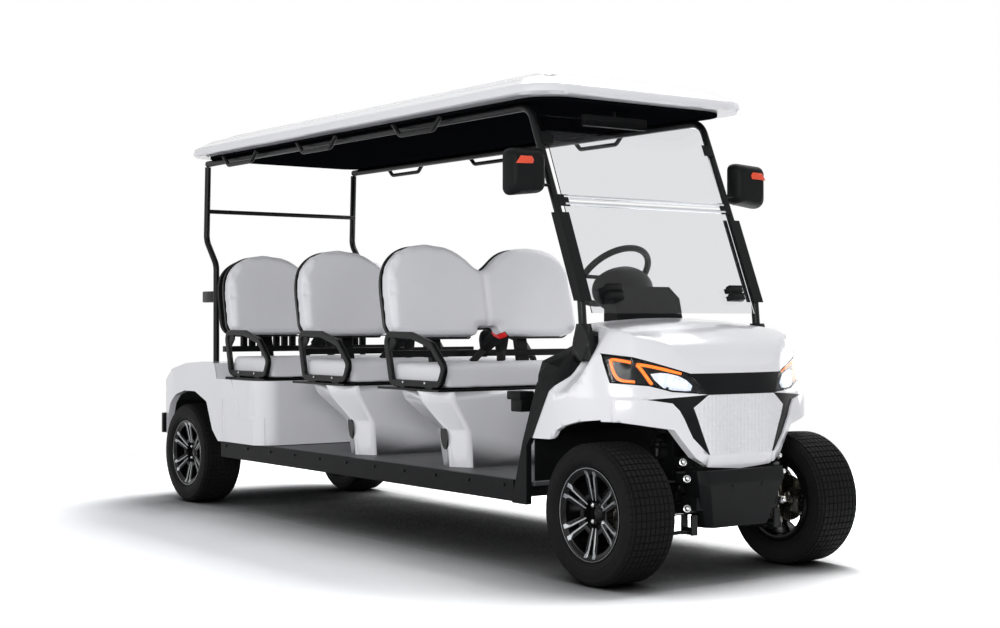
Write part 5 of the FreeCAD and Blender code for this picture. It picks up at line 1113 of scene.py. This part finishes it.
# %% A buckle and its copies
buckle = block("buckle_body", (0.038, 0.062, 0.084), (0, 0, 0.035))
edit(buckle)
choose_faces(buckle, lambda middle, normal: normal.z > FACING)
bpy.ops.mesh.inset(thickness=0.004, depth=0.0)
bpy.ops.mesh.extrude_region_move(TRANSFORM_OT_translate={"value": (0, 0, -0.004)})
bpy.ops.mesh.select_all(action="DESELECT")
choose_faces(buckle, lambda middle, normal: normal.z < -FACING)
bpy.ops.transform.resize(value=(0.7, 0.75, 1))
settle()
soften(buckle, 0.0022, 40)
button = block("buckle_button", (0.027, 0.050, 0.012), (0, 0, 0.0745), 0.0016)
stalk = block("buckle_stalk", (0.006, 0.044, 0.100), (0, 0, -0.035), 0.0012)

BUCKLE_LEAN = math.radians(38)
BUCKLE_SPREAD = math.radians(24)
BUCKLE_PLACE = (0.045, 0.046, 0.838)
belt_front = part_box("seat_belts")[1][0]
bodies = []
buttons = []
stalks = []
for row in range(len(ROWS)):
    for hand in (1, -1):
        lean = Matrix.Rotation(BUCKLE_LEAN, 4, "Y") @ Matrix.Rotation(BUCKLE_SPREAD * hand, 4, "X")
        ahead, across, up = BUCKLE_PLACE
        at = Matrix.Translation((belt_front + ahead - PITCH * row, across * hand, up))
        for master, group in ((buckle, bodies), (button, buttons), (stalk, stalks)):
            group.append(copied(master, f"{master.name}_{row}", at @ lean))
finished(joined("buckle_bodies", bodies), "chassis", grained_plastic, ("seat_belts",), 40)
finished(joined("buckle_buttons", buttons), "chassis", red_button, (), 40)
finished(joined("buckle_stalks", stalks), "chassis", webbing, (), 40)
for master in (buckle, button, stalk):
    bpy.data.objects.remove(master)
print("buckles", len(bodies))

# %% [markdown]
# ## Screen fittings
#
# The screen is two clear panes with a hinge of extruded aluminium between them. Two black
# catches on the lower pane hold the upper one when it's folded down.

# %% Hinge strips
def pane_x(height):
    """How far forward the panes are at a height, read from the model's panes."""
    low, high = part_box("windscreen_panes")
    share = (height - low[2]) / (high[2] - low[2])
    return high[0] + (low[0] - high[0]) * share


pane_tree = tree_of(nodes["windscreen_panes"])


def on_pane(y, z, proud):
    """The point of the panes at this width and height, a little in front of them."""
    hit = pane_tree.ray_cast(Vector((AHEAD, y, z)), Vector((-1, 0, 0)))[0]
    if hit is None:
        hit = pane_tree.find_nearest(Vector((pane_x(z), y, z)))[0]
    return hit + Vector((proud, 0, proud * TURN_SHARE))


HINGE_HEIGHTS = (1.4105, 1.4395)
HINGE_HALF = 0.420
HINGE_RADIUS = 0.0062
HINGE_PROUD = 0.002
strips = []
for height in HINGE_HEIGHTS:
    ends = [on_pane(y, height, HINGE_PROUD) for y in (-HINGE_HALF, HINGE_HALF)]
    strips.append(bent_rod("hinge_strip", ends, HINGE_RADIUS, 2))
finished(joined("screen_hinge", strips), "chassis", hinge_aluminium, (), 40)
print("hinge strips", len(strips))

# %% Catches on the lower pane
CATCH_SIZE = (0.030, 0.088, 0.020)
CATCH_PLACES = [(y, z) for y in (-0.305, 0.330) for z in (1.047, 1.077)]
CATCH_PROUD = 0.016
CATCH_TILT = math.radians(-22)
catch = block("screen_catch", CATCH_SIZE)
edit(catch)
choose_faces(catch, lambda middle, normal: normal.z > FACING)
bpy.ops.mesh.inset(thickness=0.005, depth=0.0)
bpy.ops.mesh.extrude_region_move(TRANSFORM_OT_translate={"value": (0.006, 0, 0.007)})
bpy.ops.mesh.select_all(action="DESELECT")
choose_faces(catch, lambda middle, normal: normal.x > FACING)
bpy.ops.transform.resize(value=(1, 0.72, 1))
settle()
soften(catch, 0.002, 40)
catches = []
tilt = Matrix.Rotation(CATCH_TILT, 4, "Y")
for y, z in CATCH_PLACES:
    place = Matrix.Translation(on_pane(y, z, CATCH_PROUD))
    catches.append(copied(catch, "screen_catch_part", place @ tilt))
finished(joined("screen_catches", catches), "chassis", grained_plastic, (), 40)
bpy.data.objects.remove(catch)
print("catches", len(catches))

# %% [markdown]
# ## Door mirrors
#
# Each housing carries a red-orange marker on its front and the glass in its back.

# %% Markers and glass
MARKER = ((-655, 1554), (-633, 1584), (-580, 1585), (-571, 1571), (-576, 1557))
MARKER_THICKNESS = 0.004
MARKER_SUNK = 0.001
GLASS_SIZE = (0.002, 0.136, 0.160)
GLASS_SIDE = 0.583
GLASS_HEIGHT = 1.529
GLASS_SUNK = 0.0005
WIDE_GLASS_SIZE = (0.002, 0.300, 0.040)
WIDE_GLASS_UP = 0.028
mirror_low, mirror_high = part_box("side_mirrors")
markers = []
for hand in (1, -1):
    ring = [(mirror_high[0] - MARKER_SUNK, -y * hand * MM, z * MM) for y, z in MARKER]
    marker = sheet("mirror_marker", ring)
    thicken(marker, (MARKER_THICKNESS, 0, 0))
    modify(marker, "BEVEL", width=0.0016, segments=2)
    markers.append(marker)
finished(joined("mirror_markers", markers), "chassis", marker_orange, (), 40)

glasses = []
for hand in (1, -1):
    place = (mirror_low[0] - GLASS_SUNK, GLASS_SIDE * hand, GLASS_HEIGHT)
    glass = block("mirror_glass_sheet", GLASS_SIZE, place)
    edit(glass, "EDGE")
    choose_edges(glass, lambda a, b: abs(a.x - b.x) > 0.001)
    bpy.ops.mesh.bevel(offset=0.022, segments=6, affect="EDGES")
    settle()
    glasses.append(glass)
finished(joined("mirror_glasses", glasses), "chassis", mirror_glass, (), 30)
wide_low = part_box("interior_mirror")[0]
wide_place = (wide_low[0] - GLASS_SUNK, 0, wide_low[2] + WIDE_GLASS_UP)
wide_glass = block("wide_mirror_glass", WIDE_GLASS_SIZE, wide_place, 0.0006, segments=1)
finished(wide_glass, "chassis", mirror_glass, (), 30)
print("markers", len(markers), "glasses", len(glasses) + 1)

# %% [markdown]
# ## Speakers and bolts on the sides
#
# Small round and hexagonal parts are what the eye checks a scale by. A grille disc is made once
# with a rolled rim, and one bolt head once, and both are set wherever the photograph shows them.

# %% Speaker grilles
SPEAKER_PLACES = ((0.620, 0.468), (-0.156, 0.468))
OUTSIDE = 1.2
SPEAKER_SECTION = ((0.0, 0.0050), (0.030, 0.0046), (0.0440, 0.0042), (0.0465, 0.0062), (0.0500, 0.0066),
                   (0.0520, 0.0046), (0.0524, 0.0), (0.0, -0.0005))
grille = spun("grille_master", SPEAKER_SECTION, 40)
pedestal_tree = tree_of(nodes["seat_pedestals"])


def seated(tree, x, z, hand):
    """Where a side panel is met from outside, and the way it faces."""
    return tree.ray_cast(Vector((x, OUTSIDE * hand, z)), Vector((0, -hand, 0)))[:2]


def facing(place, normal):
    """Turns +Y to a normal, at a place."""
    turn = Vector((0, 1, 0)).rotation_difference(normal).to_matrix().to_4x4()
    return Matrix.Translation(place) @ turn


grilles = []
for x, z in SPEAKER_PLACES:
    for hand in (1, -1):
        hit, normal = seated(pedestal_tree, x, z, hand)
        grilles.append(copied(grille, "speaker_grille", facing(hit, normal)))
finished(joined("speaker_grilles", grilles), "chassis", speaker_cloth, (), 40)
bpy.data.objects.remove(grille)
print("grilles", len(grilles))

# %% One bolt head and its rows
INNER_SIDE = 0.40
bpy.ops.mesh.primitive_cylinder_add(vertices=6, radius=0.0075, depth=0.006, rotation=(math.pi / 2, 0, 0),
                                    location=(0, 0.003, 0))
bolt_head = named("bolt_master")
apply_place(bolt_head)
edit(bolt_head)
choose_faces(bolt_head, lambda middle, normal: normal.y > FACING)
bpy.ops.mesh.inset(thickness=0.0018, depth=0.0012)
settle()
soften(bolt_head, 0.0006, 40, segments=1)


def bolt_row(name, node, spots, finish, size):
    """Sets bolt heads where lines from the sides meet a part's outer faces, and counts them."""
    tree = tree_of(nodes[node])
    heads = []
    for x, z in spots:
        for hand in (1, -1):
            hit, normal = seated(tree, x, z, hand)
            if hit is not None and abs(hit.y) > INNER_SIDE:
                place = facing(hit, normal) @ Matrix.Scale(size, 4)
                heads.append(copied(bolt_head, name + "_head", place))
    finished(joined(name, heads), "chassis", finish, (), 30)
    return len(heads)


SILL_BOLTS = 11
SILL_MARGIN = 0.06
REST_BOLTS = ((0.470, 0.845), (0.520, 0.802), (0.470, 0.700), (0.640, 0.700))
sill_low, sill_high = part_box("sill_covers")
sill_step = (sill_high[0] - sill_low[0] - 2 * SILL_MARGIN) / (SILL_BOLTS - 1)
sill_spots = [(sill_low[0] + SILL_MARGIN + index * sill_step, sill_low[2] + SILL_MARGIN)
              for index in range(SILL_BOLTS)]
bolts = bolt_row("sill_bolts", "sill_covers", sill_spots, gloss_black, 0.9)
rest_spots = [(x - PITCH * row, z) for row in range(len(ROWS)) for x, z in REST_BOLTS]
bolts += bolt_row("hip_rail_bolts", "armrests", rest_spots, bright_steel, 0.8)
bpy.data.objects.remove(bolt_head)
print("bolts", bolts)

# %% [markdown]
# ## Dashboard and shroud
#
# The dashboard is a shelf with an instrument pod. Its ends lean inwards above the knees, so from
# outside only the black edge trim shows there. The column disappears into a rounded shroud.

# %% Dashboard with leaning ends
DASH_HALF = 0.438
DASH_LEAN_FROM = 0.80
DASH_LEAN = 2.5
SHELF_HALF = 0.226
POD_HALF = 0.15
POD_FROM = 0.93
dash = merged_copy("dashboard", "dash_moulding")
edit(dash, chosen="SELECT")
bpy.ops.mesh.subdivide(number_cuts=3)
settle()


def lean_in(place):
    """Draws the ends of the shelf inwards above knee height, and the left half of the pod more."""
    rise = max(0.0, place.z - DASH_LEAN_FROM)
    on_pod = place.y > 0 and place.z > POD_FROM
    reach = POD_HALF if on_pod else max(SHELF_HALF, DASH_HALF - DASH_LEAN * rise)
    if abs(place.y) > reach:
        return Vector((place.x, math.copysign(reach, place.y), place.z))
    return place


shape(dash, lean_in)
edit(dash, chosen="SELECT")
bpy.ops.mesh.dissolve_limited(angle_limit=math.radians(1))
settle()
soften(dash, 0.003, 50)
finished(dash, "chassis", grained_plastic, ("dashboard",), 32)
print("dash faces", len(dash.data.polygons))

# %% Column shroud
SHROUD_RADII = (0.100, 0.150, 0.105)
SHROUD_MIDDLE = Vector((0.060, 0, -0.060))
SHROUD_CUT = Vector((0.020, 0, -0.020))
wheel_low, wheel_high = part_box("steering_wheel")
wheel_middle = (Vector(wheel_low) + Vector(wheel_high)) / 2
bpy.ops.mesh.primitive_uv_sphere_add(segments=32, ring_count=16, radius=1)
shroud = named("column_shroud")
shroud.scale = SHROUD_RADII
shroud.rotation_euler = (0, math.radians(45), 0)
shroud.location = wheel_middle + SHROUD_MIDDLE
apply_place(shroud)
edit(shroud, chosen="SELECT")
bpy.ops.mesh.bisect(plane_co=wheel_middle + SHROUD_CUT, plane_no=(1, 0, -1), clear_inner=True,
                    use_fill=True)
settle()
soften(shroud, 0.004, 50)
finished(shroud, "chassis", grained_plastic, (), 40)
print("shroud faces", len(shroud.data.polygons))

# %% [markdown]
# ## Small black boxes and bright joints
#
# A two-step switch box sits behind each edge trim, and the ball joints of the front arms catch
# the light between wheel and bumper.

# %% Switch boxes behind the trims
SWITCH_STEPS = ((1.262, 0.672, (0.090, 0.070, 0.034)), (1.272, 0.634, (0.070, 0.060, 0.050)))
SWITCH_SIDE = 0.500
boxes = []
for hand in (1, -1):
    for x, z, size in SWITCH_STEPS:
        box = block("switch_box", size, (x, SWITCH_SIDE * hand, z), 0.005)
        boxes.append(box)
finished(joined("switch_boxes", boxes), "chassis", grained_plastic, (), 40)

# %% Ball joints on the front arms
BALL_SECTION = ((0.0, 0.0260), (0.0050, 0.0252), (0.0085, 0.0225), (0.0105, 0.0180), (0.0100, 0.0130),
                (0.0135, 0.0120), (0.0140, 0.0050), (0.0125, 0.0), (0.0, -0.0005))
ball = spun("ball_master", BALL_SECTION, 24)
BALL_PLACES = ((1.908, 0.240, 0.441), (1.930, 0.240, 0.382), (1.930, 0.240, 0.273))
BALL_FACES = (0.75, 0.45, 0.25)
LUG_SIZE = (0.060, 0.070, 0.034)
LUG_BACK = 0.030
balls = []
lugs = []
for x, y, z in BALL_PLACES:
    for hand in (1, -1):
        lug = block("arm_lug", LUG_SIZE, (x - LUG_BACK, (y - LUG_BACK) * hand, z), 0.004)
        lugs.append(lug)
        out = Vector((BALL_FACES[0], BALL_FACES[1] * hand, BALL_FACES[2])).normalized()
        balls.append(copied(ball, "arm_ball", facing(Vector((x, y * hand, z)), out)))
finished(joined("arm_lugs", lugs), "chassis", powder_coat, (), 40)
finished(joined("arm_ball_joints", balls), "chassis", bright_steel, (), 40)
bpy.data.objects.remove(ball)
print("balls", len(balls), "boxes", len(boxes))

# %% [markdown]
# ## Black edge of the cowl
#
# The white cowl ends in a slanting line, and behind it the shell is black as far as the edge trim.
# The black part is a copy of the cowl's own surface, raised by a millimetre and a half. Three
# planes cut it: one along the slanting line, an upright one where that line would run too far
# forward, and a level one at the top.

# %% Cut the edge out of the cowl's surface
EDGE_FOOT = Vector((1.430, 0.0, 0.510))
EDGE_LINE = Vector((0.123, 0.0, 0.208)).normalized()
EDGE_FRONT = Vector((1.575, 0, 0))
EDGE_TOP = Vector((0, 0, 0.925))
FORWARDS = Vector((1, 0, 0))
UPWARDS = Vector((0, 0, 1))
edge_cover = merged_copy("front_cowl", "cowl_edge_cover")
cut_away(edge_cover, ((EDGE_FOOT, Vector((EDGE_LINE.z, 0, -EDGE_LINE.x))), (EDGE_FRONT, FORWARDS),
                      (EDGE_TOP, UPWARDS)))
modify(edge_cover, "DISPLACE", strength=0.0015, mid_level=0.0)
finished(edge_cover, "chassis", grained_plastic, (), 32)
print("edge cover faces", len(edge_cover.data.polygons))

# %% Brackets of the bag bar, behind the rear posts
BRACKET_SIZE = (0.150, 0.034, 0.060)
BRACKET_PLACES = ((-1.605, 0.440, 1.090), (-1.605, -0.440, 1.090))
brackets = [block("bar_bracket", BRACKET_SIZE, place, 0.006) for place in BRACKET_PLACES]
finished(joined("bag_bar_brackets", brackets), "chassis", powder_coat, (), 40)
print("brackets", len(brackets))

# %% [markdown]
# ## Crease in the rear body
#
# The side of the rear body steps out by four millimetres behind a slanting line and below a level
# one, which leaves a shallow panel between them. Each raised part is a copy of the body's surface,
# cut by planes and thickened outwards.


# %% Cut a raised skin out of a panel
SKIN_THICKNESS = 0.004
SIDE_FROM = 0.54
SIDE_FACING = 0.5


def raised_skin(node, name, cuts):
    """The side faces of a part's surface that lie behind each cutting plane, thickened outwards."""
    skin = merged_copy(node, name)
    cut_away(skin, cuts)
    edit(skin)
    choose_faces(skin, lambda middle, normal: abs(middle.y) < SIDE_FROM or abs(normal.y) < SIDE_FACING)
    bpy.ops.mesh.delete(type="FACE")
    settle()
    modify(skin, "SOLIDIFY", thickness=SKIN_THICKNESS, offset=1.0)
    return skin


SLANT_AT = Vector((-0.980, 0, 0.499))
SLANT_OUT = Vector((0.296, 0, 0.156)).normalized()
LEVEL_AT = Vector((0, 0, 0.484))
skins = [raised_skin("rear_body", "skin_behind", ((SLANT_AT, SLANT_OUT),)),
         raised_skin("rear_body", "skin_below", ((SLANT_AT, -SLANT_OUT), (LEVEL_AT, UPWARDS)))]
rear_skins = joined("rear_body_skins", skins)
finished(rear_skins, "chassis", white_panel, (), 30)
modify(rear_skins, "WEIGHTED_NORMAL", keep_sharp=True, weight=90)
print("rear skins", len(skins))

# %% Ribbed block under the rear backrest
RIB_SIZE = (0.034, 0.030, 0.075)
RIB_ROW = 7
RIB_FIRST = 0.075
RIB_PITCH = 0.048
RIB_X = -1.372
RIB_HEIGHT = 0.852
ribs = []
for index in range(RIB_ROW):
    for hand in (1, -1):
        across = hand * (RIB_FIRST + RIB_PITCH * index)
        ribs.append(block("spring_rib", RIB_SIZE, (RIB_X, across, RIB_HEIGHT), 0.006))
finished(joined("backrest_ribs", ribs), "chassis", grained_plastic, (), 40)
print("ribs", len(ribs))

# %% [markdown]
# ## Panels taken over from the model
#
# Most of the model's forms are right as they are, but its mesh is loose triangles with hard
# edges. A copy of such a node is merged, its edges get the small radius that every moulded or
# folded part has, and it's shaded smooth up to the real creases.


# %% Take over a form
def refined(node, name, finish, edge_radius=0.0):
    """A merged, softened copy of a model part, in its place."""
    piece = merged_copy(node, name)
    if edge_radius:
        soften(piece, edge_radius, 50)
    finished(piece, body_of(node), finish, (node,))
    modify(piece, "WEIGHTED_NORMAL", keep_sharp=True, weight=70)


print("refining ready")

# %% Each form's node, new name, slot, finish and edge radius
PANELS = (
    ("front_cowl", "cowl_panel", "white_body", white_panel, 0.0),
    ("nose_surround", "nose_trim", "black_plastic", gloss_black, 0.0),
    ("nose_panel", "nose_insert", "white_body", pearl_panel, 0.0),
    ("front_bumper", "front_bumper_skin", "black_plastic", grained_plastic, 0.003),
    ("arch_liners", "arch_liner_skins", "black_plastic", grained_plastic, 0.0),
    ("rear_body", "rear_body_panel", "white_body", white_panel, 0.016),
    ("tail_lamps", "tail_lamp_lenses", "red_lens", red_lens, 0.0015),
    ("rear_bumper", "rear_bumper_skin", "black_plastic", grained_plastic, 0.003),
    ("seat_pedestals", "pedestal_mouldings", "white_body", white_panel, 0.0),
    ("sill_covers", "sill_mouldings", "black_plastic", grained_plastic, 0.002),
    ("floor_deck", "floor_mat_sheet", "floor_rubber", floor_mat, 0.001),
    ("backrest_shells", "bench_back_shells", "black_plastic", grained_plastic, 0.002),
    ("seat_frames", "bench_frames", "black_metal", powder_coat, 0.002),
    ("armrests", "hip_rails", "black_metal", powder_coat, 0.0),
    ("front_pillars", "screen_pillars", "black_metal", powder_coat, 0.0),
    ("rear_pillars", "rear_posts", "black_metal", powder_coat, 0.0),
    ("bag_bar", "bag_bar_pad", "black_plastic", grained_plastic, 0.004),
    ("roof_panel", "roof_moulding", "white_body", white_panel, 0.0),
    ("roof_liner", "roof_lining", "black_plastic", liner_panel, 0.002),
    ("grab_handles", "grab_rails", "black_plastic", powder_coat, 0.0),
    ("windscreen_panes", "screen_panes", "clear_screen", clear_sheet, 0.0),
    ("windscreen_clamps", "screen_sleeves", "black_plastic", grained_plastic, 0.0),
    ("side_mirrors", "door_mirrors", "black_plastic", grained_plastic, 0.0),
    ("interior_mirror", "wide_mirror", "black_plastic", grained_plastic, 0.003),
    ("cowl_side_trims", "cowl_edge_trims", "black_plastic", grained_plastic, 0.002),
    ("steering_wheel", "steering_wheel_rim", "black_plastic", grained_plastic, 0.0),
    ("steering_column", "column_cover", "black_plastic", grained_plastic, 0.002),
    ("pedals", "foot_pedals", "black_plastic", grained_plastic, 0.002),
    ("frame_rails", "chassis_rails", "black_metal", powder_coat, 0.002),
    ("frame_crossmembers", "chassis_crossmembers", "black_metal", powder_coat, 0.001),
    ("suspension_brackets", "arm_brackets", "black_metal", powder_coat, 0.001),
    ("front_suspension", "front_arms", "black_metal", powder_coat, 0.0),
    ("rear_springs", "rear_leaf_packs", "black_metal", cast_iron, 0.0),
    ("drive_axle", "rear_drive_axle", "black_metal", cast_iron, 0.0),
    ("battery_pack", "battery_block", "battery_case", battery_case, 0.004),
    ("knuckle_left", "upright_left", "black_metal", brake_steel, 0.0),
    ("knuckle_right", "upright_right", "black_metal", brake_steel, 0.0),
    ("tie_rod", "track_rod", "black_metal", bright_steel, 0.0),
)
for node, name, slot, finish, radius in PANELS:
    refined(node, name, finish, radius)
for end, side in WHEELS:
    refined(f"hub_{end}_{side}", f"brake_disc_{end}_{side}", brake_steel)
print("panels", len(PANELS))

# %% Finish
print("finished")
